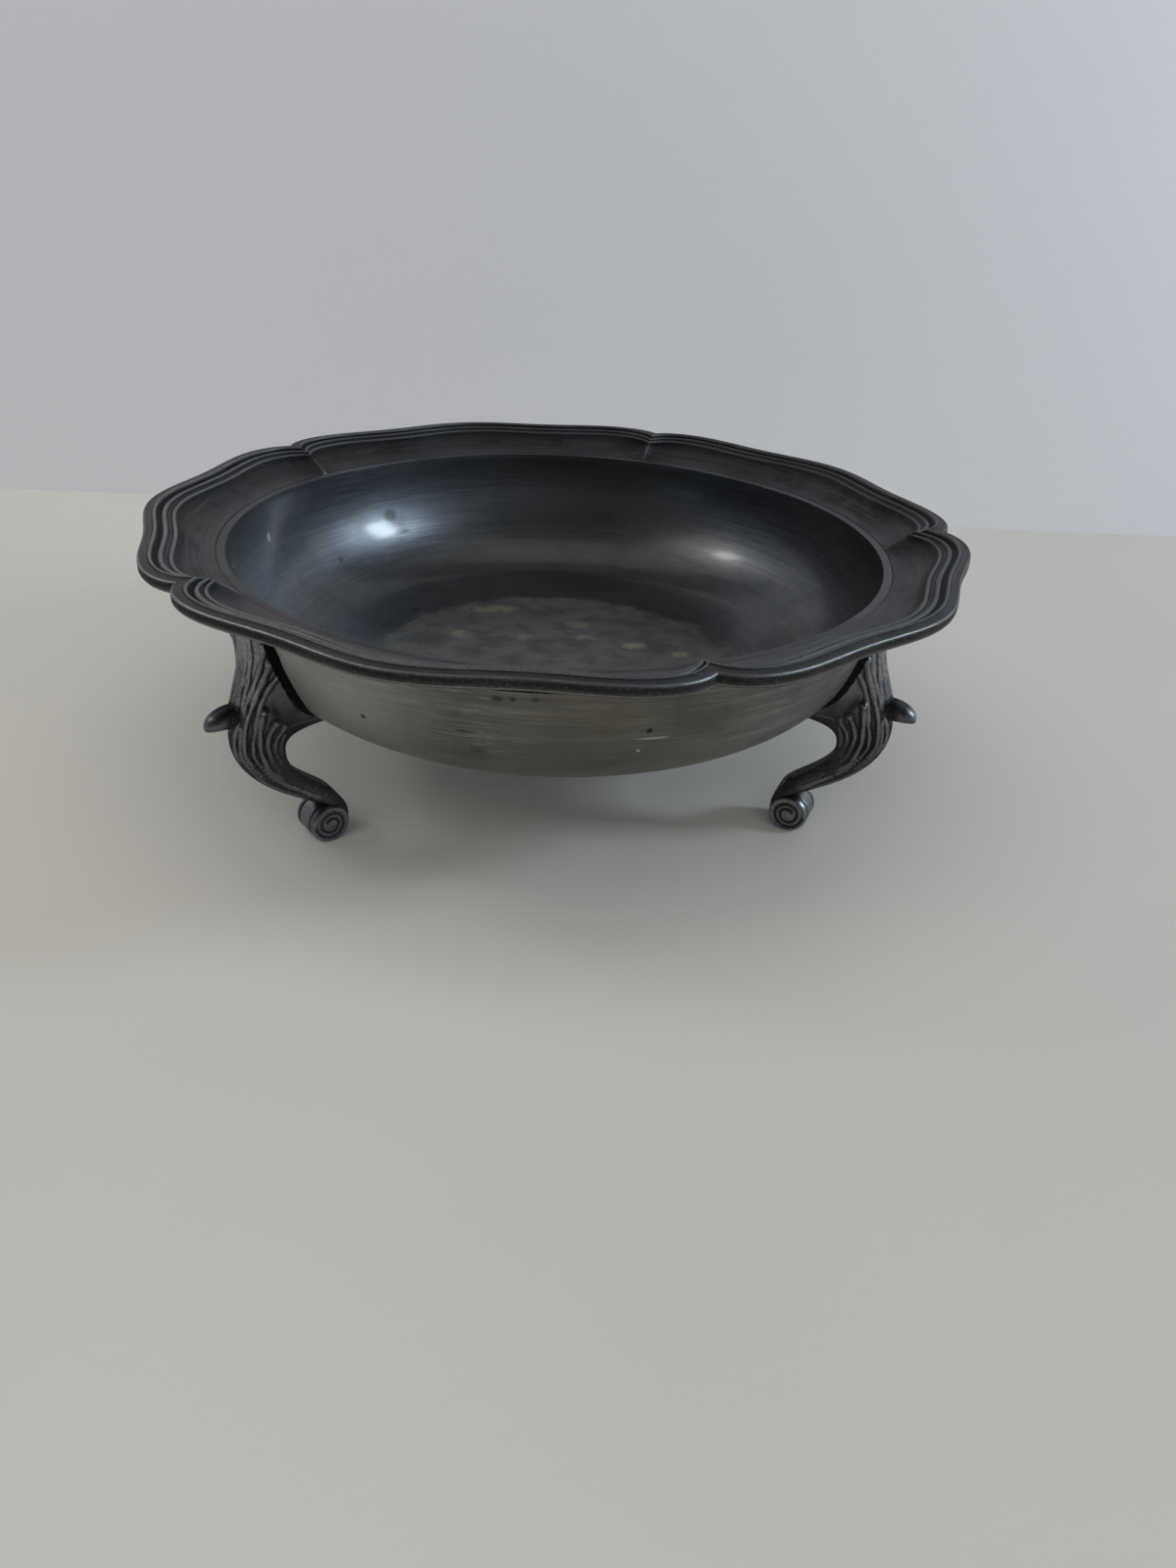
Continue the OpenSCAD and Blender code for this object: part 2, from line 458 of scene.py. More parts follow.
@dataclass(frozen=True)
class TurnedPewter:
    """Pewter turned on a lathe: satin, with lines round the axis, smears, pits and dull patches.

    All sizes are in metres.
    """

    bowl: "Bowl"
    name: str = "turned pewter"
    metal: Colour = (0.096, 0.104, 0.117)
    light: Colour = (0.27, 0.264, 0.248)
    dull: Colour = (0.062, 0.063, 0.064)
    olive: Colour = (0.15, 0.138, 0.108)
    crust: Colour = (0.225, 0.222, 0.205)
    stain: Colour = (0.42, 0.4, 0.3)
    soot: Colour = (0.016, 0.0155, 0.0145)
    # bare metal for scratches, and for the painted sheen on the outside's left
    bare_and_sheen: Colour = (0.5, 0.5, 0.5)
    rough: float = 0.32
    line_depth: float = 0.00002
    coat: float = 0.5
    coat_rough: float = 0.14
    in_wall: Point = (0.0008, 0.0016)
    lip_fade: float = 0.0007
    lip_below: Point = (0.0009, 0.0002)
    lip_past: Point = (-0.0004, 0.0002)
    base_edge: Point = (0.0775, 0.0705)
    # a dark band round the base, painted as a reflection
    reflection_ring_inside: Point = (0.056, 0.065)
    reflection_ring_outside: Point = (0.082, 0.069)
    reflection_ring_side: Point = (-0.06, 0.02)
    # where the outside is painted lighter on the left, as sheen
    painted_sheen_side: Point = (-0.025, -0.06)
    # the front middle of the outside, painted darker and more olive: painted shade
    reflected_shadow_at: Place = (-0.012, -0.105, 0.06)
    reflected_shadow_size: Place = (0.09, 0.06, 0.06)
    flecks: tuple[Fleck, ...] = (
        Fleck((-0.0148, -0.1117, 0.0795), (0.0022, 0.003, 0.0012), 0.6),
        Fleck((-0.0105, -0.112, 0.0797), (0.0012, 0.003, 0.001), 0.6),
        Fleck((-0.0046, -0.1126, 0.0801), (0.0016, 0.003, 0.001), 0.5),
        Fleck((-0.0199, -0.1054, 0.0607), (0.0038, 0.004, 0.0019), 0.45),
        Fleck((-0.0236, -0.1076, 0.0674), (0.0042, 0.003, 0.0005), 0.7),
        Fleck((0.0282, -0.106, 0.0666), (0.0062, 0.004, 0.0005), 0.7, Flaw.SCRATCH),
        Fleck((0.0242, -0.1052, 0.062), (0.0007, 0.003, 0.0006), 1.0, Flaw.SCRATCH),
        Fleck((0.0189, 0.104, 0.0646), (0.008, 0.006, 0.003), 0.3),
        Fleck((0.0484, 0.098, 0.0769), (0.009, 0.006, 0.0025), 0.3),
        Fleck((0.0683, 0.0859, 0.0804), (0.009, 0.006, 0.0025), 0.3),
        Fleck((-0.0551, 0.0431, 0.0426), (0.0022, 0.0014, 0.003), 0.95),
        Fleck((-0.0693, 0.0818, 0.0681), (0.0035, 0.004, 0.003), 0.45),
        Fleck((-0.0647, 0.0818, 0.0616), (0.005, 0.004, 0.0012), 0.4),
        Fleck((-0.0854, 0.0552, 0.0577), (0.0013, 0.002, 0.003), 0.6),
        Fleck((-0.1058, 0.0263, 0.0753), (0.0008, 0.0016, 0.0024), 0.8, Flaw.SCRATCH),
        Fleck((-0.1087, -0.0127, 0.0779), (0.001, 0.0028, 0.0008), 0.6, Flaw.SCRATCH),
        Fleck((-0.0242, 0.0483, 0.0423), (0.0105, 0.0062, 0.003), 0.75, Flaw.STAIN),
        Fleck((-0.0349, 0.0219, 0.0423), (0.0055, 0.0046, 0.003), 0.7, Flaw.STAIN),
        Fleck((-0.0097, 0.0205, 0.0423), (0.006, 0.0044, 0.003), 0.55, Flaw.STAIN),
        Fleck((0.0082, 0.035, 0.0423), (0.007, 0.0045, 0.003), 0.6, Flaw.STAIN),
        Fleck((0.0302, 0.0158, 0.0423), (0.006, 0.004, 0.003), 0.95, Flaw.STAIN),
        Fleck((0.0468, 0.01, 0.0423), (0.0042, 0.0036, 0.003), 0.95, Flaw.STAIN),
        Fleck((0.0119, 0.0226, 0.0423), (0.0045, 0.004, 0.003), 0.6, Flaw.STAIN),
        Fleck((-0.0521, 0.0627, 0.0445), (0.012, 0.006, 0.004), 0.35),
        Fleck((0.0173, 0.0738, 0.0432), (0.016, 0.006, 0.004), 0.3),
    )

    def sides(self, z: Wire, radius: Wire) -> tuple[Wire, Wire]:
        """Tell the outside and the lip of the bowl from its inside.

        Args:
            z: Height.
            radius: Distance from the axis.

        Returns:
            The outside, and the flat of the lip.
        """
        bowl = self.bowl
        top, depth, base_r, lip_r = (
            size * MM for size in (bowl.lip_h, bowl.depth, bowl.base_r, bowl.lip_r)
        )
        down = ((top - z) / depth).clamp()
        inner_r = base_r + (lip_r - base_r) * (1.0 - down**bowl.curve).clamp() ** (1 / bowl.curve)
        outside = (radius - inner_r).band(*self.in_wall) * z.band(top, top - self.lip_fade)
        lip = (top - z).band(*self.lip_below) * (radius - lip_r).band(*self.lip_past)
        return outside, lip

    def make(self) -> bpy.types.Material:
        """Build the material.

        Returns:
            The material.
        """
        material, graph = new_material(self.name)
        place = graph.place()
        x, y, z = graph.split(place)
        radius = graph.from_axis(x, y)
        turn, run = (x / radius, y / radius), radius + z * 1.3
        fine = graph.lines(turn, run, 4.5, 1900.0, 3.0, 0.65)
        broad = graph.lines(turn, run, 1.6, 300.0, 2.0)
        scratch = graph.lines(turn, run, 16.0, 2400.0, 1.0)
        streak = fine * 0.7 + broad * 0.3
        smear = graph.noise(place, 24.0, 3.0, 0.6)
        mottle = graph.noise(place, 95.0, 4.0, 0.65)
        cloud = graph.noise(place, 10.0, 2.0)
        pits = graph.spots(place, 150.0, 0.2, 0.03)
        specks = graph.spots(place, 480.0, 0.2, 0.05)
        outside, lip = self.sides(z, radius)
        inside = 1.0 - outside
        base = (radius + 0.012 * smear + 0.006 * mottle).band(*self.base_edge) * inside
        # painted reflection: a dark band round the base, where the cove would mirror the dark inner
        # wall
        ring = radius.band(*self.reflection_ring_inside) * radius.band(*self.reflection_ring_outside) * inside
        ring = ring * x.band(*self.reflection_ring_side)
        # painted shade: darker and more olive on the front middle of the outside
        reflected_shadow = graph.fleck(place, self.reflected_shadow_at, self.reflected_shadow_size) * outside
        light = streak.band(0.46, 0.62) * (0.22 + 0.5 * outside) + outside * 0.45 - reflected_shadow * 0.3
        layers = [
            (light.clamp(), self.light),
            (streak.band(0.5, 0.36) * (0.3 + 0.25 * outside), self.dull),
            (scratch.band(0.66, 0.74) * (0.14 + 0.5 * outside), self.bare_and_sheen),
            (scratch.band(0.34, 0.27) * outside * 0.7, self.soot),
            # painted reflection round the base
            (ring * (0.1 + 0.5 * smear), self.dull),
            (smear.band(0.45, 0.7) * 0.45, self.dull),
            (mottle.band(0.5, 0.68) * 0.32, self.dull),
            # olive: random tone, and the painted shade on the outside's front
            (cloud.band(0.42, 0.66) * 0.3 + reflected_shadow * 0.4, self.olive),
            (base * (0.35 + 0.6 * mottle.band(0.62, 0.38)).clamp(), self.crust),
            # painted sheen: the outside is lighter on the left
            (x.band(*self.painted_sheen_side) * outside * 0.5, self.bare_and_sheen),
            (lip * 0.75, self.dull),
        ]
        scars = pits + specks * 0.6
        blotch = 0.3 + 0.7 * mottle.band(0.58, 0.44)
        for fleck in self.flecks:
            spot = graph.fleck(place, fleck.middle, fleck.size) * fleck.strength
            if fleck.kind is Flaw.PIT:
                scars = scars + spot
            elif fleck.kind is Flaw.SCRATCH:
                layers.append((spot, self.bare_and_sheen))
            else:
                layers.append((spot * blotch, self.stain))
        scars = scars.clamp()
        layers.append((scars * 0.8, self.soot))
        rough = self.rough + fine * 0.08 + smear.band(0.4, 0.7) * 0.1
        height = fine * 0.7 + broad * 0.35 + scratch.band(0.62, 0.74) * 0.5 - scars * 1.2
        graph.surface(
            {
                "Base Color": graph.layers(self.metal, layers),
                "Metallic": 1.0,
                "Roughness": rough + scars * 0.2 + outside * 0.06 + base * 0.12,
                "Coat Weight": self.coat * inside * (1.0 - base) * (1.0 - lip),
                "Coat Roughness": self.coat_rough,
                "Normal": graph.bump(height, self.line_depth),
            }
        )
        return material


@dataclass(frozen=True)
class CastPewter:
    """Cast pewter: dark in its hollows from dirt and painted shade, worn bright along its edges
    with some painted sheen, a little grainy.
    """

    name: str
    metal: Colour = (0.1, 0.101, 0.105)
    worn_and_sheen: Colour = (0.4, 0.4, 0.41)
    grime_and_shade: Colour = (0.011, 0.0108, 0.0105)
    brown: Colour = (0.052, 0.046, 0.037)
    rough: float = 0.34
    grain_depth: float = 0.00005
    brushed: float = 0.0
    speckle: float = 0.0
    patchy: float = 0.75

    def make(self) -> bpy.types.Material:
        """Build the material.

        Returns:
            The material.
        """
        material, graph = new_material(self.name)
        place = graph.place()
        x, y, z = graph.split(place)
        radius = graph.from_axis(x, y)
        wear, dirt, tarnish = (graph.mark(mark) for mark in Mark)
        grain = graph.noise(place, 900.0, 3.0, 0.6)
        patch = graph.noise(place, 70.0, 4.0, 0.6)
        cloud = graph.noise(place, 26.0, 2.0)
        specks = graph.noise(place, 1300.0, 2.0, 0.6)
        pits = graph.spots(place, 260.0, 0.22, 0.05)
        streak = graph.lines((x / radius, y / radius), radius + z, 5.0, 900.0, 3.0, 0.65)
        # the worn colour also lays on the painted sheen carried by the wear mark
        worn_and_sheen = wear * (1.0 - self.patchy * (patch * 0.5 + grain * 0.5).band(0.59, 0.43))
        # the dark colour also lays on the painted shade carried by the dirt mark
        soiled_and_shaded = (dirt * 1.1 - 0.4 * grain * dirt).clamp()
        layers = [
            (cloud.band(0.45, 0.65) * 0.35, self.brown),
            (patch.band(0.48, 0.68) * (0.3 + 0.4 * self.brushed), self.grime_and_shade),
            (streak.band(0.5, 0.68) * (0.3 * self.brushed), self.worn_and_sheen),
            (streak.band(0.5, 0.34) * (0.55 * self.brushed), self.grime_and_shade),
            (tarnish * (0.55 + patch * 0.5).clamp(), self.brown),
            (specks.band(0.45, 0.34) * (self.speckle + tarnish * 0.5), self.grime_and_shade),
            (worn_and_sheen * 0.9, self.worn_and_sheen),
            ((soiled_and_shaded + pits * 0.6).clamp() * 0.95, self.grime_and_shade),
            (specks.band(0.58, 0.68) * (self.speckle * 0.5 + tarnish * 0.15), self.worn_and_sheen),
        ]
        rough = self.rough + patch * 0.14 + soiled_and_shaded * 0.25
        height = grain * (0.5 + tarnish * 2.5) + specks * (0.3 * self.speckle + tarnish * 1.5)
        height = height + patch * 1.2 - pits * 0.8 + streak * (0.5 * self.brushed)
        graph.surface(
            {
                "Base Color": graph.layers(self.metal, layers),
                "Metallic": 1.0,
                "Roughness": rough - worn_and_sheen * 0.1 + tarnish * 0.12,
                "Normal": graph.bump(height, self.grain_depth),
            }
        )
        return material


@dataclass(frozen=True)
class SolderAndSeamShade:
    """Old solder, rough and lumpy, coloured nearly black: painted shade for the shadow in the
    seams.
    """

    name: str = "old solder"
    dark: Colour = (0.0022, 0.002, 0.0018)
    lead: Colour = (0.012, 0.011, 0.01)
    rough: float = 0.6
    gloss: float = 0.06
    lump_depth: float = 0.0002

    def make(self) -> bpy.types.Material:
        """Build the material.

        Returns:
            The material.
        """
        material, graph = new_material(self.name)
        lumps = graph.noise(graph.place(), 420.0, 3.0, 0.6)
        graph.surface(
            {
                "Base Color": graph.blend(lumps.band(0.5, 0.75), self.dark, self.lead),
                "Roughness": self.rough + lumps * 0.3,
                "Specular IOR Level": self.gloss,
                "Normal": graph.bump(lumps, self.lump_depth),
            }
        )
        return material


@dataclass(frozen=True)
class PalePaint:
    """Plain pale paint for the floor and the backdrop.

    Towards the right the shade colour can be laid on more, as painted shade.
    """

    name: str
    colour: Colour
    shade: Colour
    rough: float = 0.6
    painted_shade_right: float = 0.0
    one_sided: bool = False
    tooth: float = 0.0002

    def make(self) -> bpy.types.Material:
        """Build the material.

        Returns:
            The material.
        """
        material, graph = new_material(self.name)
        place = graph.place()
        cloud = graph.noise(place, 4.0, 3.0).band(0.3, 0.7)
        # painted shade: the paint darkens towards the right
        right = graph.split(place)[0].band(-0.1, 0.35)
        share = cloud * (0.5 - 0.4 * self.painted_shade_right) + right * self.painted_shade_right
        settings = {
            "Base Color": graph.blend(share, self.colour, self.shade),
            "Roughness": self.rough,
            "Normal": graph.bump(graph.noise(place, 300.0, 3.0), self.tooth, 0.4),
        }
        if self.one_sided:
            settings["Alpha"] = 1.0 - graph.node("ShaderNodeNewGeometry", {}, {})("Backfacing")
        graph.surface(settings)
        return material


# Shapes


class Draft:
    """Points, faces and marks of a mesh, in millimetres."""

    def __init__(self) -> None:
        """Start empty."""
        self.points: list[Sequence[float]] = []
        self.faces: list[tuple[int, ...]] = []
        self.marks: dict[Mark, list[float]] = {mark: [] for mark in Mark}

    def grid(
        self,
        rows: np.ndarray,
        round_rows: bool = False,
        round_columns: bool = False,
        marks: dict[Mark, np.ndarray] | None = None,
    ) -> None:
        """Add a sheet of four-sided faces.

        Args:
            rows: Points as an array of rows, columns and coordinates.
            round_rows: Whether the last row joins the first.
            round_columns: Whether the last column joins the first.
            marks: Marks of the points, where there are any.
        """
        count, width = rows.shape[:2]
        start = len(self.points)
        self.points.extend(map(tuple, rows.reshape(-1, 3)))
        for mark, values in self.marks.items():
            given = (marks or {}).get(mark, np.zeros((count, width)))
            values.extend(np.broadcast_to(given, (count, width)).reshape(-1))
        for i in range(count if round_rows else count - 1):
            for j in range(width if round_columns else width - 1):
                a, b = i * width, ((i + 1) % count) * width
                k = (j + 1) % width
                self.faces.append((start + a + j, start + a + k, start + b + k, start + b + j))

    def lathe(self, profile: Sequence[Point], steps: int) -> None:
        """Add a profile turned round the Z axis.

        Args:
            profile: Radius and height of each point.
            steps: Steps in a turn.
        """
        turn = np.linspace(0.0, FULL_TURN, steps, endpoint=False)
        r, z = np.array(profile).T
        x, y = np.outer(np.cos(turn), r), np.outer(np.sin(turn), r)
        self.grid(np.stack([x, y, np.tile(z, (steps, 1))], axis=-1), round_rows=True)

    def piece(
        self, name: str, material: bpy.types.Material, sharp: float = 40.0
    ) -> bpy.types.Object:
        """Make the object.

        Args:
            name: Name of the piece.
            material: Its material.
            sharp: Angle over which an edge is left sharp, in degrees.

        Returns:
            The object, in metres.
        """
        mesh = bpy.data.meshes.new(name)
        scaled = [(x * MM, y * MM, z * MM) for x, y, z in self.points]
        mesh.from_pydata(scaled, [], self.faces)
        for mark, values in self.marks.items():
            if any(values):
                mesh.attributes.new(mark.value, "FLOAT", "POINT").data.foreach_set("value", values)
        mesh.shade_smooth()
        mesh.set_sharp_from_angle(angle=math.radians(sharp))
        mesh.materials.append(material)
        piece = bpy.data.objects.new(name, mesh)
        bpy.context.scene.collection.objects.link(piece)
        return piece


def report(piece: bpy.types.Object, slot: Slot, *nodes: str) -> None:
    """Hang a piece in the frame in place of nodes, and log it.

    Args:
        piece: The piece.
        slot: Its material slot; not used.
        nodes: Nodes that it replaces.
    """
    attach(piece, "root")
    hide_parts(*nodes)
    LOG.info("%s: %d faces, for %s", piece.name, len(piece.data.polygons), ", ".join(nodes))


@dataclass
class Bowl:
    """The turned bowl.

    All sizes are in millimetres.
    """

    lip_r: float = 110.0
    depth: float = 46.0
    base_r: float = 64.0
    wall: float = 3.0
    curve: float = 2.4
    sink: float = 0.4
    ledge: float = 2.0
    lip_h: float = 88.5
    lip_round: float = 0.3
    base_slope: float = 9.0
    flat_r: float = 30.0
    middle_r: float = 0.01
    first_turn: float = 2.0
    sharp: float = 35.0
    steps: int = 288
    profile_steps: int = 72
    lip_steps: int = 6
    slope_steps: int = 8

    @property
    def wall_r(self) -> float:
        """Return the outside radius at the lip."""
        return self.lip_r + self.wall

    def curve_points(self, reach: float, depth: float) -> list[Point]:
        """Return points down the wall's curve.

        Args:
            reach: Distance from the base to the lip.
            depth: Depth of the curve.

        Returns:
            Radius and height of each point, from the lip to the base.
        """
        points = []
        for i in range(self.profile_steps + 1):
            turn = math.radians(mix(self.first_turn, 90.0, i / self.profile_steps))
            r = self.base_r + reach * max(0.0, math.cos(turn)) ** (2 / self.curve)
            points.append((r, self.lip_h - depth * math.sin(turn) ** (2 / self.curve)))
        return points

    def outside_r(self, height: Number) -> Number:
        """Return the outside radius at a height."""
        share = np.clip((self.lip_h - height) / (self.depth + self.wall), 0.0, 1.0)
        return self.base_r + (self.wall_r - self.base_r) * round_off(share, self.curve)

    def lip(self) -> list[Point]:
        """Return the lip's section, with its edges rounded.

        Returns:
            Radius and height of each point, from outside to inside.
        """
        turns = [math.radians(90.0 * i / self.lip_steps) for i in range(self.lip_steps + 1)]
        r, z = self.lip_round, self.lip_h - self.lip_round
        outer = [(self.wall_r - r + r * math.cos(a), z + r * math.sin(a)) for a in turns]
        inner = [(self.lip_r + r - r * math.sin(a), z + r * math.cos(a)) for a in turns]
        return outer + inner

    def build(self, material: bpy.types.Material) -> bpy.types.Object:
        """Turn the bowl.

        Args:
            material: Its material.

        Returns:
            The piece.
        """
        base = self.lip_h - self.depth
        outside = self.curve_points(self.wall_r - self.base_r, self.depth + self.wall)
        inside = self.curve_points(self.lip_r - self.base_r, self.depth)
        floor = []
        for i in range(self.slope_steps + 1):
            t = i / self.slope_steps
            r = self.base_r - self.ledge + self.base_slope * (0.5 - t)
            floor.append((r, base - self.sink * float(smooth_step(0.0, 1.0, t))))
        floor += [(self.flat_r, base - self.sink), (self.middle_r, base - self.sink)]
        under = [(self.middle_r, base - self.wall), (self.flat_r, base - self.wall)]
        draft = Draft()
        draft.lathe(under + outside[::-1] + self.lip() + inside + floor, self.steps)
        return draft.piece("bowl_turned", material, self.sharp)


@dataclass(frozen=True)
class Spot:
    """A point of the rim's section: radius, height over the lip, and the marks there."""

    r: float
    z: float
    wear: float = 0.0
    dirt: float = 0.0
    tarnish: float = 0.0


@dataclass(frozen=True)
class Reed:
    """A thin rounded line of the mouldings: half its width, and how far below its feet lie."""

    half: float
    inner: float
    outer: float


@dataclass
class Rim:
    """The lobed cast rim.

    All sizes are in millimetres.
    """

    bowl: Bowl
    width: float = 23.0
    lobes: int = 5
    wave: float = 1.9
    wave_turn: float = 432.0
    notch: float = 4.0
    notch_span: float = 0.07
    cusp: float = 2.4
    cusp_span: float = 0.06
    rise: float = 7.8
    edge_t: float = 2.4
    band: float = 3.7
    bead: float = 3.0
    bead_step: float = 0.9
    collar_h: float = 4.5
    collar_t: float = 2.5
    gap: float = 0.1
    bead_pull: float = 0.25
    step_pull: float = 0.6
    inset: float = 0.03
    inner_reed: Reed = Reed(0.8, 0.75, 0.45)
    middle_reed: Reed = Reed(0.95, 0.75, 0.6)
    outer_reed: Reed = Reed(0.7, 1.0, 0.3)
    reed_stops: tuple[float, ...] = (-1.0, -0.8, -0.55, -0.25, 0.0, 0.25, 0.55, 0.8, 1.0)
    scoop: float = 2.1
    ridge_h: float = 0.3
    ridge_span: float = 0.05
    sharp: float = 60.0
    half_steps: int = 120
    step_bias: float = 1.8
    marly_steps: int = 18
    band_steps: int = 7

    @property
    def bore_r(self) -> float:
        """Return the radius of the hole that the bowl sits in."""
        return self.bowl.wall_r + self.gap

    def shares(self) -> list[Point]:
        """Place the sections round the rim, closer together at the notches.

        Returns:
            The angle, in degrees, and the share of the way to mid-lobe of each section.
        """
        stops = []
        span = 180.0 / self.lobes
        for lobe in range(self.lobes):
            for i in range(1 - self.half_steps, self.half_steps + 1):
                share = (abs(i) / self.half_steps) ** self.step_bias
                stops.append((360.0 * lobe / self.lobes + math.copysign(share * span, i), share))
        return stops

    def reed(self, reed: Reed, middle: float, height: float) -> list[Spot]:
        """Return the section of a reed, worn along its crest and dark at its feet with dirt and
        painted shade.

        Args:
            reed: The reed.
            middle: Radius of its crest.
            height: Height of its crest.

        Returns:
            Its points, from the bowl outwards.
        """
        spots = []
        for a in self.reed_stops:
            drop = reed.inner if a < 0 else reed.outer
            wear = 0.85 * max(0.0, 1 - 1.4 * a * a)
            spots.append(Spot(middle + reed.half * a, height - drop * a * a, wear, 0.85 * a**6))
        return spots

    def marly(self, end: float, top: float, share: float) -> list[Spot]:
        """Return the section of the scooped ground between the bowl and the mouldings.

        Args:
            end: Radius where it ends.
            top: Height where it ends.
            share: Share of the way from a notch to mid-lobe; the scoops meet in a ridge at a notch.

        Returns:
            Its points, from the bowl outwards.
        """
        spots = []
        ridge = math.exp(-share / self.ridge_span)
        for i in range(self.marly_steps + 1):
            t = i / self.marly_steps
            z = mix(top * t**self.scoop, top * t + self.ridge_h * math.sin(math.pi * t), ridge)
            # darker towards the reeds, as dirt and painted shade; darker on the flanks of the ridge
            # at a notch
            dirt = 0.55 * smooth_step(0.72, 1.0, t) + 1.5 * ridge * (1 - ridge)
            wear = 0.7 * smooth_step(0.86, 1.0, ridge) + 0.2 * smooth_step(0.75, 0.0, t)
            spots.append(Spot(mix(self.bore_r, end, t), z, wear, dirt))
        return spots

    def mouldings(self, step: float, bead: float, crest: float) -> list[Spot]:
        """Return the section of the three reeds and the hollows between them.

        Args:
            step: Radius of the inner reed.
            bead: Radius of the middle reed.
            crest: Radius of the outer reed.

        Returns:
            Its points, from the bowl outwards.
        """
        top, mid, low = (self.rise - i * self.bead_step for i in range(3))
        return [
            *self.reed(self.inner_reed, step, low),
            Spot(step + 0.95, low - 0.42, 0.0, 0.5),
            Spot(mix(step, bead, 0.5), low - 0.15, 0.1, 0.1),
            Spot(bead - 1.1, mid - 0.75, 0.0, 0.55),
            *self.reed(self.middle_reed, bead, mid),
            Spot(bead + 1.1, mid - 0.65, 0.0, 0.75),
            Spot(crest - 0.95, mid - 0.4, 0.0, 0.75),
            *self.reed(self.outer_reed, crest, top),
        ]

    def outer_band(self, crest: float, edge: float) -> list[Spot]:
        """Return the section of the slightly hollow band outside the reeds.

        Args:
            crest: Radius of the outer reed.
            edge: Radius of the rim's edge.

        Returns:
            Its points, from the reed outwards.
        """
        spots = []
        for i in range(1, self.band_steps):
            t = i / self.band_steps
            z = self.rise - mix(0.3, 0.6, t) - 0.12 * math.sin(math.pi * t)
            spots.append(Spot(mix(crest + 0.7, edge - 0.9, t), z, 0.16, 0.0, 0.2))
        return spots

    def underside(self, edge: float, bead: float) -> list[Spot]:
        """Return the section of the rounded edge, the underside and the collar.

        Args:
            edge: Radius of the rim's edge.
            bead: Radius of the middle reed.

        Returns:
            Its points, from the top of the edge to the foot of the collar.
        """
        top, bore = self.rise, self.bore_r
        low = top - 1.2 - self.edge_t
        # the bright wear on the edge's top and bottom corners is worn metal and painted highlight
        # lines; the underside and collar are kept dark
        return [
            Spot(edge - 0.75, top - 0.52, 0.25),
            Spot(edge - 0.5, top - 0.52, 0.7, 0.0, 0.2),
            Spot(edge - 0.22, top - 0.7, 1.0, 0.0, 0.2),
            Spot(edge - 0.05, top - 1.0, 0.4, 0.15, 0.4),
            Spot(edge, top - 1.4, 0.05, 0.4, 0.6),
            Spot(edge, mix(top, low, 0.6), 0.05, 0.45, 0.6),
            Spot(edge - 0.02, low + 0.4, 0.25, 0.25, 0.6),
            Spot(edge - 0.18, low, 0.9, 0.0, 0.4),
            Spot(edge - 0.6, low - 0.55, 0.1, 0.4, 0.8),
            Spot(bead, low - 1.2, 0.0, 0.5, 0.6),
            Spot(bore + 2 * self.collar_t, -self.collar_t / 2, 0.0, 0.7, 0.5),
            Spot(bore + self.collar_t, -self.collar_h, 0.0, 0.7, 0.3),
            Spot(bore, -self.collar_h, 0.0, 0.8),
        ]

    def section(self, share: float) -> list[Spot]:
        """Return the section at a share of the way from a notch to mid-lobe.

        Args:
            share: 0 at a notch, 1 in the middle of a lobe.

        Returns:
            Its points, from the bowl over the mouldings and back underneath.
        """
        edge = self.bowl.wall_r + self.width - self.inset
        edge -= self.notch * math.exp(-share / self.notch_span)
        edge += self.wave * math.cos(math.radians(self.wave_turn * (1 - share)))
        pull = self.cusp * math.exp(-share / self.cusp_span)
        crest = edge - self.band - pull
        bead = crest - self.bead - self.bead_pull * pull
        step = bead - self.bead + self.step_pull * pull
        marly = self.marly(step - 0.95, self.rise - 2 * self.bead_step - 0.8, share)
        top = marly + self.mouldings(step, bead, crest) + self.outer_band(crest, edge)
        return top + self.underside(edge, bead)

    @staticmethod
    def age(right: float, behind: float) -> Point:
        """Return how much wear shows, and how dark the rim is painted, on one side of the dish.

        Args:
            right: How far to the right the side lies, from -1 to 1.
            behind: How far behind it lies, from -1 to 1.

        Returns:
            The share of the wear, and the painted shade.
        """
        # painted shade: less wear on the right and behind, and darker behind
        rubbed = 0.65 - 0.35 * right - 0.2 * max(0.0, behind) - 0.15 * min(0.0, behind)
        return rubbed, 0.25 * max(0.0, behind)

    def build(self, material: bpy.types.Material) -> bpy.types.Object:
        """Cast the rim.

        Args:
            material: Its material.

        Returns:
            The piece.
        """
        rows, marks = [], []
        for angle, share in self.shares():
            c, s = math.cos(math.radians(angle)), math.sin(math.radians(angle))
            section = self.section(share)
            # wear cut back and dirt raised by side, as painted shade
            rubbed, painted_back_shade = self.age(c, s)
            rows.append([(p.r * c, p.r * s, self.bowl.lip_h + p.z) for p in section])
            marks.append([(p.wear * rubbed, p.dirt + painted_back_shade, p.tarnish) for p in section])
        kept = np.moveaxis(np.array(marks), 2, 0)
        draft = Draft()
        draft.grid(np.array(rows), True, True, dict(zip(Mark, kept)))
        return draft.piece("rim_cast", material, self.sharp)


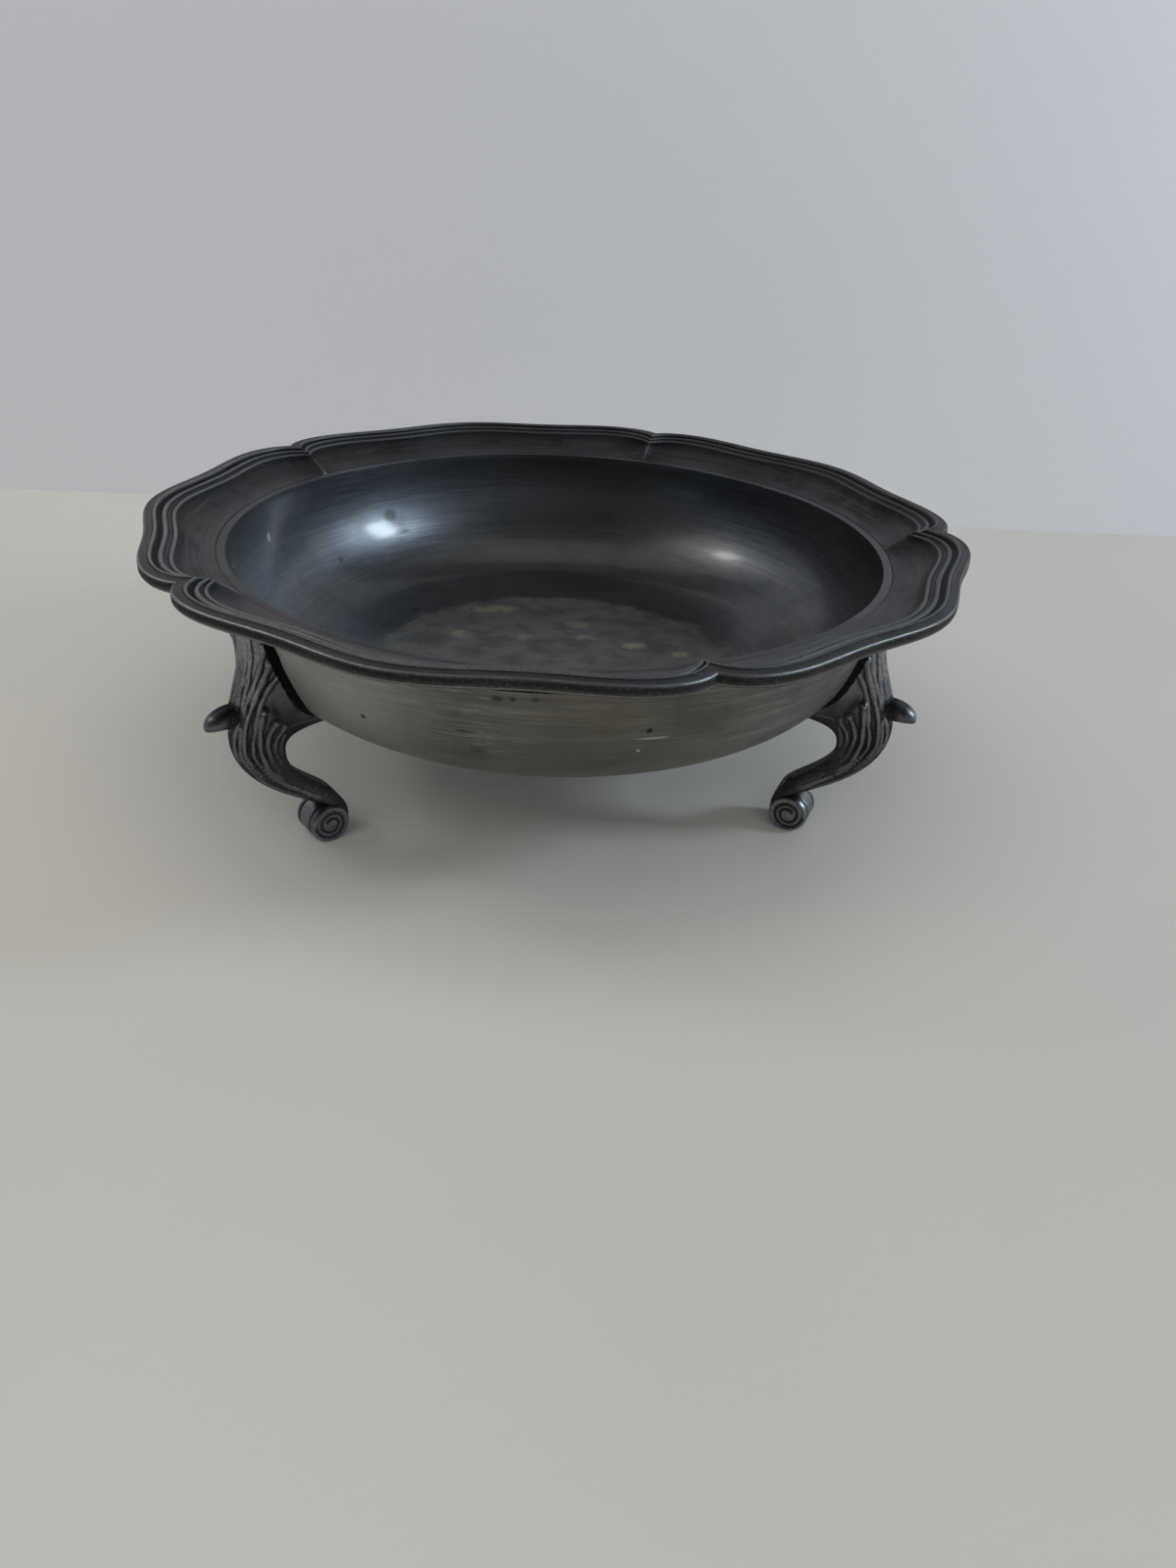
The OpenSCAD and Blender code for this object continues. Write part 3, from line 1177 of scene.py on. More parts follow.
@dataclass
class RimSolder:
    """Fillet of solder under the rim's collar.

    All sizes are in millimetres.
    """

    bowl: Bowl
    rim: Rim
    size: float = 2.0
    sag: float = 0.2
    steps: int = 240
    face_steps: int = 8

    def build(self, material: bpy.types.Material) -> bpy.types.Object:
        """Run the fillet round.

        Args:
            material: Its material.

        Returns:
            The piece.
        """
        top = self.bowl.lip_h - self.rim.collar_h
        low = top - self.size
        inner, outer = float(self.bowl.outside_r(low)), self.rim.bore_r + self.size
        points = [(float(self.bowl.outside_r(top)), top)]
        for i in range(self.face_steps + 1):
            t = i / self.face_steps
            sag = self.sag * math.sin(math.pi * t)
            points.append((mix(inner, outer, t) - sag, mix(low, top, t) + sag))
        draft = Draft()
        draft.lathe(points + points[:1], self.steps)
        return draft.piece("rim_solder_fillet", material)


@dataclass(frozen=True)
class Strand:
    """One rounded strand of a leaf, laid on the side of a leg.

    The path gives places down the leg (0 at the top, 1 at the knee, 2 at the foot) and round it
    (0 at the back edge, 1 at the middle of the front). Width and height run from start to end.
    """

    path: tuple[Point, ...]
    width: Point = (1.1, 0.7)
    height: Point = (0.9, 0.3)
    tip: float = 0.0
    fade: float = 8.0
    shine: float = 0.8


@dataclass(frozen=True)
class Patch:
    """A soft patch on the side of a leg: dirt with painted shade, or wear with painted sheen.

    Places and half widths are down the leg and round it, as those of a strand.
    """

    down: float
    around: float
    tall: float
    wide: float
    strength: float

    def at(self, down: np.ndarray, around: np.ndarray) -> np.ndarray:
        """Return the patch at places on the leg."""
        share = hump(down, self.down, self.tall) * hump(around, self.around, self.wide)
        return self.strength * share


@dataclass
class Leg:
    """A cast scroll leg: a fluted fan, a leaf tip, a knee of leaves and a rolled foot.

    All sizes are in millimetres. A pull, a rise or a fall places the handle of a curve's end: its
    sideways move, and its share of the height to the other end.
    """

    bowl: Bowl
    place: LegPlace
    first_turn: float = 216.0
    seat_w: float = 25.0
    seat_point: float = 0.8
    seat_taper: float = 2.6
    seat_swell: float = 4.9
    swell_bias: float = 1.3
    fan_out: float = 3.2
    fan_top: float = 81.5
    fan_share: float = 0.36
    fan_pull: Point = (-6.0, 0.32)
    tip_up: float = 2.8
    tip_pull: Point = (16.0, 0.05)
    knee_out: float = 9.4
    knee_up: float = 2.7
    knee_w: float = 13.0
    knee_rise: Point = (-1.8, 0.4)
    knee_fall: Point = (0.9, 0.52)
    hollow_in: float = 7.5
    hollow_drop: float = 6.8
    hollow_share: float = 0.36
    hollow_rise: Point = (0.0, 0.75)
    hollow_fall: Point = (-0.5, 0.44)
    ankle_w: float = 9.6
    ankle_at: float = 0.7
    ankle_taper: float = 0.8
    back_share: float = 0.33
    flare_at: Point = (0.66, 0.95)
    flare_front: float = 0.45
    flare_back: float = 0.42
    foot_in: float = 19.5
    roll_d: float = 13.6
    roll_w: float = 14.5
    roll_bite: float = 0.6
    roll_top_pull: Point = (11.0, 0.15)
    roll_back_pull: Point = (-3.2, 0.48)
    wear: float = 0.4
    solder_t: float = 0.4
    leaf_reach: float = 12.6
    leaf_root: float = 116.8
    leaf_mid: float = 50.4
    leaf_half: Point = (4.4, 4.7)
    leaf_drop: float = 1.9
    leaf_under: float = 0.7
    leaf_top_round: float = 2.2
    leaf_low_round: float = 4.0
    leaf_side_round: float = 2.6
    vein_w: float = 1.1
    vein_deep: float = 0.5
    spiral: tuple[float, float, float] = (0.8, 0.52, 0.27)
    spiral_w: Point = (0.075, 0.065)
    spiral_deep: float = 0.55
    spiral_start: float = 63.0
    eye_w: float = 0.2
    eye_up: float = 0.4
    face_in: float = 0.6
    face_edge: float = 0.84
    face_drop: float = 1.6
    face_round: float = 2.2
    # pocket: a darker pocket under a strand's end; shade: painted shade with dirt; the patch low on
    # the tail: wear and painted sheen
    pocket: Patch = Patch(0.78, 0.32, 0.11, 0.065, 0.95)
    shade: Patch = Patch(1.36, 0.2, 0.17, 0.17, 0.7)
    rubbed: Patch = Patch(1.72, 0.36, 0.18, 0.14, 0.7)
    sharp: float = 70.0
    rows: int = 320
    columns: int = 104
    back_steps: int = 12
    strand_steps: int = 90
    knee_passes: int = 60
    leaf_rows: int = 40
    leaf_steps: int = 48
    roll_steps: int = 120

    def __post_init__(self) -> None:
        """Work out the corners and curves of the side view."""
        wall_r = self.bowl.wall_r
        self.tip_z = self.bowl.lip_h - self.bowl.depth - self.bowl.wall + self.tip_up
        fan = (wall_r + self.fan_out, self.fan_top)
        tip = (float(self.bowl.outside_r(self.tip_z)) + self.solder_t, self.tip_z)
        knee = (wall_r + self.knee_out, self.tip_z + self.knee_up)
        hollow = (wall_r - self.hollow_in, self.tip_z - self.hollow_drop)
        r, bite = self.roll_d / 2, self.roll_bite
        self.axis = (wall_r - self.foot_in, r - self.wear)
        top = (self.axis[0] + bite, self.axis[1] + r - bite)
        back = (self.axis[0] + bite - r, self.axis[1])
        self.front_above = self.curve(fan, knee, self.fan_pull, self.knee_rise)
        self.front_below = self.curve(knee, top, self.knee_fall, self.roll_top_pull)
        self.back_to_hollow = self.curve(tip, hollow, self.tip_pull, self.hollow_rise)
        self.back_to_roll = self.curve(hollow, back, self.hollow_fall, self.roll_back_pull)

    @staticmethod
    def curve(start: Point, end: Point, start_pull: Point, end_pull: Point) -> np.ndarray:
        """Return the four points of a cubic curve.

        Args:
            start: First point.
            end: Last point.
            start_pull: Sideways move, and share of the height, of the first handle.
            end_pull: The same for the last handle.

        Returns:
            The points.
        """
        first = (start[0] + start_pull[0], mix(start[1], end[1], start_pull[1]))
        last = (end[0] + end_pull[0], mix(end[1], start[1], end_pull[1]))
        return np.array([start, first, last, end])

    @staticmethod
    def along(curve: np.ndarray, t: np.ndarray) -> np.ndarray:
        """Return points on a cubic curve.

        Args:
            curve: The four points of the curve.
            t: Shares of the way along it.

        Returns:
            The points.
        """
        t = t[..., None]
        s = 1 - t
        start, first, last, end = curve
        return s**3 * start + 3 * s**2 * t * first + 3 * s * t * t * last + t**3 * end

    def turned(self, x: Number, y: Number) -> tuple[Number, Number]:
        """Turn a place to where the leg stands round the bowl.

        Args:
            x: Distance outwards along the leg.
            y: Distance sideways.

        Returns:
            The x and y of the dish.
        """
        turn = math.radians(self.first_turn + 360.0 / len(LegPlace) * self.place.value)
        c, s = math.cos(turn), math.sin(turn)
        return x * c - y * s, x * s + y * c

    def seat_half(self, share: Number) -> Number:
        """Return half the seat's width at a share of the way down it."""
        taper = mix(self.seat_w / 2, self.seat_point, share**self.seat_taper)
        return taper + self.seat_swell * np.sin(math.pi * share**self.swell_bias)

    def halves(self, down: np.ndarray) -> tuple[np.ndarray, np.ndarray]:
        """Return half the leg's width across its front and at its back.

        Args:
            down: Places down the leg, from 0 to 2.

        Returns:
            The two halves.
        """
        upper = down <= 1.0
        above, below = np.clip(down, 0.0, 1.0), np.clip(down - 1.0, 0.0, 1.0)
        knee, ankle = self.knee_w / 2, self.ankle_w / 2
        thin = np.minimum(1, below / self.ankle_at) ** self.ankle_taper
        fan = mix(self.seat_w * self.fan_share, knee, above)
        front = np.where(upper, fan, mix(knee, ankle, thin))
        widen = np.minimum(1, below / self.hollow_share)
        back = mix(self.seat_point, self.ankle_w * self.back_share, widen)
        back = np.where(upper, self.seat_half(above), back)
        flare = smooth_step(*self.flare_at, below)
        front = mix(front, self.roll_w * self.flare_front, flare)
        return front, mix(back, self.roll_w * self.flare_back, flare)

    def skin(self, down: np.ndarray, around: np.ndarray) -> np.ndarray:
        """Return points on the plain skin of the leg.

        Args:
            down: Places down the leg, from 0 to 2.
            around: Places round it, from 0 at the back edge to 1 at the front, negative on the far
                side.

        Returns:
            The points: outwards, sideways and up.
        """
        above, below = np.clip(down, 0.0, 1.0), np.clip(down - 1.0, 0.0, 1.0)
        upper = down <= 1.0
        share = self.hollow_share
        fan, shin = self.along(self.front_above, above), self.along(self.front_below, below)
        front = np.where(upper[..., None], fan, shin)
        seat_z = mix(self.fan_top, self.tip_z, above)
        seat = np.stack([self.bowl.outside_r(seat_z) + self.solder_t, seat_z], axis=-1)
        near = self.along(self.back_to_hollow, np.clip(below / share, 0, 1))
        far = self.along(self.back_to_roll, np.clip((below - share) / (1 - share), 0, 1))
        back = np.where((below < share)[..., None], near, far)
        back = np.where(upper[..., None], seat, back)
        half, half_back = self.halves(down)
        turn = np.abs(around) * math.pi / 2
        deep = np.sin(turn)
        y = np.sign(around) * np.cos(turn) * mix(half_back, half, deep)
        flat = mix(back, front, deep[..., None])
        seated = np.sqrt(np.maximum(back[..., 0] ** 2 - y**2, 1.0))
        r = flat[..., 0] + np.where(upper, (seated - back[..., 0]) * (1 - deep), 0.0)
        return np.stack([r, y, flat[..., 1]], axis=-1)

    @staticmethod
    def fan_strands() -> list[Strand]:
        """Return the reeds of the fan.

        Returns:
            The reeds, from the fan's back edge to the middle of its front.
        """
        edge = ((0.12, 0.16), (0.19, 0.225), (0.32, 0.39), (0.5, 0.53), (0.66, 0.62), (0.74, 0.665))
        edge += ((0.84, 0.7), (0.9, 0.75), (0.95, 0.785), (1.01, 0.815), (1.12, 0.84), (1.25, 0.84))
        strands = [Strand(edge, (1.15, 0.8), (1.15, 0.5), 0.4, 9.0, 1.0)]
        for top, low, tall in ((0.66, 0.73, 0.95), (0.79, 0.83, 1.1), (0.92, 0.93, 1.0)):
            path = tuple((t, mix(top, low, t)) for t in (0.0, 0.25, 0.5, 0.75, 0.92))
            strands.append(Strand(path, (0.95, 1.05), (tall, 0.8 * tall), 0.0, 5.0, 0.8))
        return strands

    @staticmethod
    def leaf_strands() -> list[Strand]:
        """Return the strands of the leaves.

        Returns:
            The ridge beside the fan, the leaves of the knee, the side panel's edges and the tails.
        """
        ridge = ((0.245, 0.1), (0.39, 0.31), (0.52, 0.435), (0.615, 0.505), (0.7, 0.548))
        ridge += ((0.78, 0.59), (0.84, 0.625), (0.9, 0.655), (0.97, 0.68), (1.04, 0.685))
        ridge += ((1.12, 0.665), (1.2, 0.655), (1.45, 0.63))
        apex = ((0.34, 0.01), (0.42, 0.17), (0.5, 0.29), (0.58, 0.37), (0.66, 0.425))
        apex += ((0.74, 0.475), (0.82, 0.51), (0.88, 0.535), (0.94, 0.562), (1.0, 0.595))
        apex += ((1.07, 0.572), (1.14, 0.545), (1.23, 0.525), (1.5, 0.49))
        leaf = ((0.76, 0.425), (0.82, 0.455), (0.88, 0.483), (0.95, 0.52), (1.02, 0.535))
        leaf += ((1.1, 0.48), (1.19, 0.43), (1.29, 0.39), (1.4, 0.38), (1.55, 0.35))
        curl = ((0.9, 0.36), (0.945, 0.41), (1.0, 0.47), (1.06, 0.43), (1.14, 0.37))
        curl += ((1.23, 0.305), (1.33, 0.265), (1.45, 0.24))
        inner = ((0.95, 0.325), (1.01, 0.372), (1.075, 0.33), (1.15, 0.27), (1.245, 0.205))
        inner += ((1.33, 0.17), (1.42, 0.14))
        last = ((1.065, 0.28), (1.175, 0.168), (1.28, 0.1), (1.36, 0.08))
        front = ((0.93, 0.725), (1.0, 0.74), (1.1, 0.735), (1.2, 0.73), (1.4, 0.7))
        panel = ((0.45, 0.05), (0.55, 0.05), (0.7, 0.06), (0.84, 0.08))
        side_tail = ((1.34, 0.44), (1.5, 0.42), (1.66, 0.4), (1.84, 0.4))
        front_tail = ((1.38, 0.72), (1.5, 0.68), (1.66, 0.63), (1.82, 0.62))
        corner = ((0.93, 0.12), (0.96, 0.24), (0.985, 0.32))
        return [
            Strand(ridge, (1.3, 0.9), (1.5, 0.7), 1.2, 9.0, 1.0),
            Strand(apex, (1.0, 0.9), (1.0, 0.7), 0.2, 9.0, 0.9),
            Strand(leaf, (1.35, 0.9), (1.6, 0.6), 1.0, 9.0, 1.0),
            Strand(curl, (1.3, 0.9), (1.3, 0.5), 0.6, 9.0, 0.9),
            Strand(inner, (1.05, 0.7), (1.0, 0.4), 0.4, 8.0, 0.9),
            Strand(last, (0.7, 0.6), (0.6, 0.3), 0.0, 6.0, 0.8),
            Strand(front, (0.85, 0.7), (0.9, 0.4), 0.0, 8.0, 0.8),
            Strand(panel, (0.7, 0.7), (0.5, 0.4), 0.0, 3.0, 0.6),
            Strand(side_tail, (0.8, 1.0), (0.35, 0.3), 0.0, 6.0, 0.6),
            Strand(front_tail, (0.8, 1.0), (0.35, 0.3), 0.0, 6.0, 0.6),
            Strand(corner, (0.9, 0.8), (0.5, 0.3), 0.0, 3.0, 0.4),
        ]

    def lay(self, strand: Strand, points: np.ndarray) -> np.ndarray:
        """Lay a strand's middle line on the skin.

        Args:
            strand: The strand.
            points: Points of one side of the skin.

        Returns:
            Points along the line.
        """
        stops = np.array(strand.path)
        line = curve_through(np.abs(self.skin(stops[:, 0], stops[:, 1])), self.strand_steps)
        far = np.linalg.norm(points[None] - line[:, None], axis=2)
        line = points[far.argmin(axis=1)]
        for _ in range(8):
            line[1:-1] = 0.5 * line[1:-1] + 0.25 * (line[:-2] + line[2:])
        return line

    def relief(self, side: np.ndarray) -> list[np.ndarray]:
        """Raise the strands on one side of the skin.

        Args:
            side: Points of the side.

        Returns:
            Height over the skin, wear, dirt with painted shade, and nearness to a crest of each
            point.
        """
        points = side.reshape(-1, 3)
        height, wear, dirt, crest = np.zeros((4, len(points)))
        for strand in self.fan_strands() + self.leaf_strands():
            line = self.lay(strand, points)
            steps = np.linalg.norm(np.diff(line, axis=0), axis=1)
            length = np.concatenate([[0], np.cumsum(steps)])
            gap = np.linalg.norm(points[:, None, :] - line[None, :, :], axis=2)
            run = length[gap.argmin(axis=1)]
            share = run / length[-1]
            bulge = strand.tip * hump(run, 0.0, 1.6)
            uneven = 1 + 0.12 * np.sin(run * 0.8 + len(strand.path))
            wide = mix(*strand.width, share) * (1 + 0.25 * bulge) * uneven
            end = np.clip((length[-1] - run) / strand.fade, 0, 1) ** 0.8
            tall = mix(*strand.height, share) * (1 + 0.4 * bulge) * end
            off = gap.min(axis=1) / wide
            round_top = np.clip(1 - off**2, 0, None)
            height = np.maximum(height, tall * round_top)
            crest = np.maximum(crest, round_top * np.clip(end * 2, 0, 1))
            shine = strand.shine * (0.75 + 0.5 * bulge) * np.clip(end * 1.5, 0, 1)
            wear = np.maximum(wear, shine * np.clip(1 - (off / 0.65) ** 2, 0, None))
            # dark along each strand's edges: dirt and painted shade
            dirt = np.maximum(dirt, np.clip(end * 1.3, 0, 1) * hump(off, 1.0, 0.32))
        dirt = dirt * smooth_step(0.7, 0.2, crest)
        return [values.reshape(side.shape[:2]) for values in (height, wear, dirt, crest)]

    def soiled_and_shaded(self, side: np.ndarray, down: np.ndarray, around: np.ndarray) -> np.ndarray:
        """Return the dirt in the leg's pockets and hollow back, and painted shade with dirt in its
        seam and crease.

        Args:
            side: Points of one side.
            down: Their places down the leg.
            around: Their places round it.

        Returns:
            The darkening of each point.
        """
        # painted shade with dirt: a dark strip along the leg's back edge, where it meets the bowl
        ragged = 0.015 * np.sin(down * 41.0) + 0.01 * np.sin(down * 97.0 + 1.0)
        seam = smooth_step(0.05, 0.02, around + ragged) * smooth_step(0.08, 0.16, down)
        seam = seam * (down < 1.02)
        # darker on the back of the tail
        under = 0.9 * smooth_step(0.2, 0.08, around)
        under = under * smooth_step(1.3, 1.5, down) * smooth_step(1.9, 1.75, down)
        # painted shade: the crease over the root of the leaf tip
        (wide, tall), level = self.leaf_half, side[..., 2] - self.leaf_mid
        off = np.hypot(level / tall, side[..., 1] / wide)
        crease = 0.85 * smooth_step(1.2, 1.02, off) * smooth_step(-3.0, 0.0, level)
        crease = crease * smooth_step(0.2, 2.2, side[..., 0] - self.leaf_root) * (around > 0.6)
        patches = [self.pocket.at(down, around), self.shade.at(down, around)]
        return np.maximum.reduce([seam, under, crease, *patches])

    def eased(self, side: np.ndarray, down: np.ndarray, around: np.ndarray) -> np.ndarray:
        """Ease the corner between the two curves at the knee.

        Args:
            side: Points of one side.
            down: Their places down the leg.
            around: Their places round it.

        Returns:
            The points, with the corner rounded.
        """
        soft = side.copy()
        for _ in range(self.knee_passes):
            soft[1:-1] = 0.5 * soft[1:-1] + 0.25 * (soft[2:] + soft[:-2])
        share = hump(down, 1.0, 0.12) * np.clip(around * 6, 0, 1)
        return mix(side, soft, share[..., None])

    def carved(self, down: np.ndarray, around: np.ndarray) -> tuple[np.ndarray, ...]:
        """Carve one side of the leg and mark it with wear, dirt, painted shade and painted sheen.

        Args:
            down: Places down the leg.
            around: Places round it.

        Returns:
            Points of the side, with their wear (and painted sheen) and dirt (and painted shade).
        """
        side = self.skin(down, around)
        side[:, :, 1] = np.abs(side[:, :, 1])
        side = self.eased(side, down, around)
        height, wear, dirt, crest = self.relief(side)
        soiled_and_shaded = self.soiled_and_shaded(side, down, around)
        # wear and painted sheen low on the tail
        rubbed = self.rubbed.at(down, around)
        dull = 0.8 * smooth_step(0.85, 1.05, down) * (1 - 0.8 * crest) * (1 - 0.45 * rubbed)
        dirt = np.maximum.reduce([dirt, soiled_and_shaded, dull])
        handled = 0.75 * smooth_step(0.95, 0.6, down) * smooth_step(0.25, 0.5, around)
        wear = np.maximum.reduce([wear * (1 - 0.35 * smooth_step(0.9, 1.1, down)), rubbed, handled])
        normal = np.cross(np.gradient(side, axis=1), np.gradient(side, axis=0))
        normal /= np.maximum(np.linalg.norm(normal, axis=2, keepdims=True), TINY)
        if normal[self.rows // 4, -2, 0] < 0:
            normal = -normal
        height *= np.clip(around * 14, 0, 1)
        side = side + normal * height[..., None]
        side[:, -1, 1] = 0.0
        return side, wear * (1 - 0.9 * soiled_and_shaded), dirt

    def body(self, draft: Draft) -> None:
        """Add the body of the leg to a draft.

        Args:
            draft: Draft to add to.
        """
        down = np.linspace(0.0, 2.0, self.rows)
        around = np.linspace(0.0, 1.0, self.columns)
        side, wear, dirt = self.carved(*np.meshgrid(down, around, indexing="ij"))
        other = side[:, -2::-1] * (1, -1, 1)
        first, last = side[:, 0], other[:, -1]
        edge_r = np.hypot(first[:, 0], first[:, 1])
        back = []
        for i in range(1, self.back_steps):
            row = mix(last, first, i / self.back_steps)
            seated = np.sqrt(np.maximum(edge_r**2 - row[:, 1] ** 2, 1.0))
            row[:, 0] = np.where(down <= 1.0, seated, row[:, 0])
            back.append(row)
        ring = np.concatenate([side, other, np.stack(back, axis=1)], axis=1)
        # the back strip, against the bowl, is kept dark: dirt and painted shade
        grime_and_shade = np.full((self.rows, len(back)), 0.6)
        marks = {
            Mark.WEAR: np.concatenate([wear, wear[:, -2::-1], 0.0 * grime_and_shade], axis=1),
            Mark.DIRT: np.concatenate([dirt, dirt[:, -2::-1], grime_and_shade], axis=1),
        }
        start, width = len(draft.points), ring.shape[1]
        draft.grid(ring, round_columns=True, marks=marks)
        end = start + (self.rows - 1) * width
        draft.faces.append(tuple(range(start, start + width))[::-1])
        draft.faces.append(tuple(range(end, end + width)))

    def leaf_tip(self, draft: Draft) -> None:
        """Add the rounded leaf tip that curls out of the knee to a draft.

        Args:
            draft: Draft to add to.
        """
        turn = np.linspace(0.0, FULL_TURN, self.leaf_steps, endpoint=False)[None, :]
        out = np.sin(np.linspace(0.0, math.pi / 2, self.leaf_rows))[:, None]
        up = np.sin(turn)
        wide, tall = self.leaf_half
        nose = self.leaf_mid - self.leaf_drop
        top = mix(nose, self.leaf_mid + tall, round_off(out, self.leaf_top_round))
        low = self.leaf_mid - self.leaf_under * tall
        low = mix(nose, low, round_off(out, self.leaf_low_round))
        waist = 0.55 + 0.45 * np.sin(math.pi * (0.1 + 0.4 * out))
        y = wide * round_off(out, self.leaf_side_round) * waist * np.cos(turn)
        z = (top + low) / 2 + (top - low) / 2 * up
        reach = np.broadcast_to(self.leaf_reach * out, z.shape)
        vein = self.vein_deep * hump(y, 0.0, self.vein_w) * np.clip(up, 0, 1)
        vein = vein * smooth_step(0.97, 0.6, out)
        # painted shade: dark at the leaf tip's root, with some dirt, and over its top
        root_shade = 0.95 * smooth_step(8.5, 5.5, reach)
        top_shade = 0.8 * smooth_step(11.8, 8.5, reach) * smooth_step(-0.2, 0.5, up)
        marks = {
            Mark.DIRT: np.maximum(root_shade, top_shade),
            Mark.WEAR: 0.25 * smooth_step(6.5, 11.0, reach) * smooth_step(-0.5, 0.6, up),
        }
        rows = np.stack([self.leaf_root + reach, y, z - vein], axis=-1)
        draft.grid(rows, round_columns=True, marks=marks)

    @staticmethod
    def joined(face: np.ndarray, barrel: np.ndarray, other: np.ndarray) -> np.ndarray:
        """Join values of the roll's near face, its barrel and its far face into rows."""
        middle = np.broadcast_to(barrel, (len(face), len(barrel)))
        return np.concatenate([face, middle, other[:, ::-1]], axis=1)

    def roll(self, draft: Draft) -> None:
        """Add the rolled foot to a draft, with a spiral of two turns cut in its faces.

        Args:
            draft: Draft to add to.
        """
        r, half = self.roll_d / 2, self.roll_w / 2
        turn = np.linspace(0, FULL_TURN, self.roll_steps, endpoint=False)[:, None]
        q = np.concatenate([[0.003], np.linspace(0.06, 0.9, 34), [0.93, 0.96, 0.985, 1.0]])[None, :]
        wind = (turn - math.radians(self.spiral_start)) % FULL_TURN / FULL_TURN
        start, middle, end = self.spiral
        outer = hump(q, mix(start, middle, wind), self.spiral_w[0]) * smooth_step(0.0, 0.12, wind)
        cut = np.maximum(outer, hump(q, mix(middle, end, wind), self.spiral_w[1]))
        eye = self.eye_up * hump(q, 0.0, self.eye_w)
        past = np.maximum(0.0, (q - self.face_edge) / (1 - self.face_edge))
        drop = self.face_in + self.spiral_deep * cut - eye + self.face_drop * past**self.face_round
        face_wear = np.clip(0.65 - 0.8 * cut, 0.0, 1) * smooth_step(1.02, 0.94, q)
        groove = [
            (r, 4.7, 0.4, 0.0),
            (r - 0.12, 4.3, 0.1, 0.5),
            (r - 0.55, 4.0, 0.0, 0.9),
            (r - 0.55, 3.6, 0.0, 0.9),
            (r - 0.12, 3.3, 0.3, 0.4),
            (r, 2.8, 0.6, 0.0),
            (r, 1.2, 0.4, 0.0),
        ]
        barrel = np.array(groove + [(a, -b, c, d) for a, b, c, d in groove[::-1]]).T
        face = r * q * np.ones_like(turn)
        reach = self.joined(face, barrel[0], face)
        y = self.joined(half - drop, barrel[1], drop - half)
        marks = {
            Mark.WEAR: self.joined(face_wear, barrel[2], face_wear),
            Mark.DIRT: self.joined(0.7 * cut, barrel[3], 0.7 * cut),
        }
        x = self.axis[0] + reach * np.sin(turn)
        z = np.maximum(0.0, self.axis[1] + reach * np.cos(turn))
        draft.grid(np.stack([x, y, z], axis=-1), round_rows=True, marks=marks)

    def cast(self) -> Draft:
        """Cast one leg for all three places.

        Returns:
            The draft of a leg that points along the X axis.
        """
        draft = Draft()
        self.body(draft)
        self.leaf_tip(draft)
        self.roll(draft)
        return draft

    def build(self, cast: Draft, material: bpy.types.Material) -> bpy.types.Object:
        """Stand a casting in its place.

        Args:
            cast: Draft of the casting.
            material: Its material.

        Returns:
            The piece.
        """
        draft = Draft()
        draft.points = [(*self.turned(x, y), z) for x, y, z in cast.points]
        draft.faces, draft.marks = cast.faces, cast.marks
        return draft.piece(f"{self.place.name.lower()}_leg_cast", material, self.sharp)


@dataclass
class LegSolder:
    """Solder and grime in the seam behind a leg, near black with painted shade.

    All sizes are in millimetres.
    """

    leg: Leg
    spread: float = 2.6
    least: float = 0.4
    thick: float = 0.4
    lump: float = 1.8
    stop: float = 0.6
    rows: int = 110
    columns: int = 121

    def build(self, material: bpy.types.Material) -> bpy.types.Object:
        """Run the solder behind the leg and out along both edges of its seat.

        Args:
            material: Its material.

        Returns:
            The piece.
        """
        leg = self.leg
        share = np.linspace(0.0, 1.0, self.rows)[:, None]
        level = mix(leg.fan_top, leg.tip_z + self.stop, share)
        seat = leg.seat_half(share)
        ragged = 0.2 * np.sin(share * 29.0 + 3.0 * np.sin(share * 7.0))
        ragged = ragged + 0.1 * np.sin(share * 113.0)
        ends = smooth_step(0.0, 0.16, share) * smooth_step(1.02, 0.8, share)
        spread = (self.spread + ragged) * ends + self.least
        y = np.linspace(-1.0, 1.0, self.columns)[None, :] * (seat + spread)
        past = np.clip((np.abs(y) - seat) / spread, 0.0, 1.0)
        near = smooth_step(-0.9, 0.3, np.abs(y) - seat)
        run = smooth_step(0.0, 0.12, share) * smooth_step(1.0, 0.85, share)
        lift = self.thick * (1 - past**3) + self.lump * run * near * (1 - past) ** 1.4
        waves = np.sin(share * 47.0 + 2.0 * np.sin(share * 13.0))
        rough = waves + 0.6 * np.sin(share * 133.0 + y * 1.7)
        r = leg.bowl.outside_r(level) + lift * (1 + 0.06 * rough)
        x, y = leg.turned(np.sqrt(np.maximum(r**2 - y**2, 1.0)), y)
        draft = Draft()
        draft.grid(np.stack([x, y, np.broadcast_to(level, x.shape)], axis=-1))
        return draft.piece(f"{leg.place.name.lower()}_leg_seam", material)


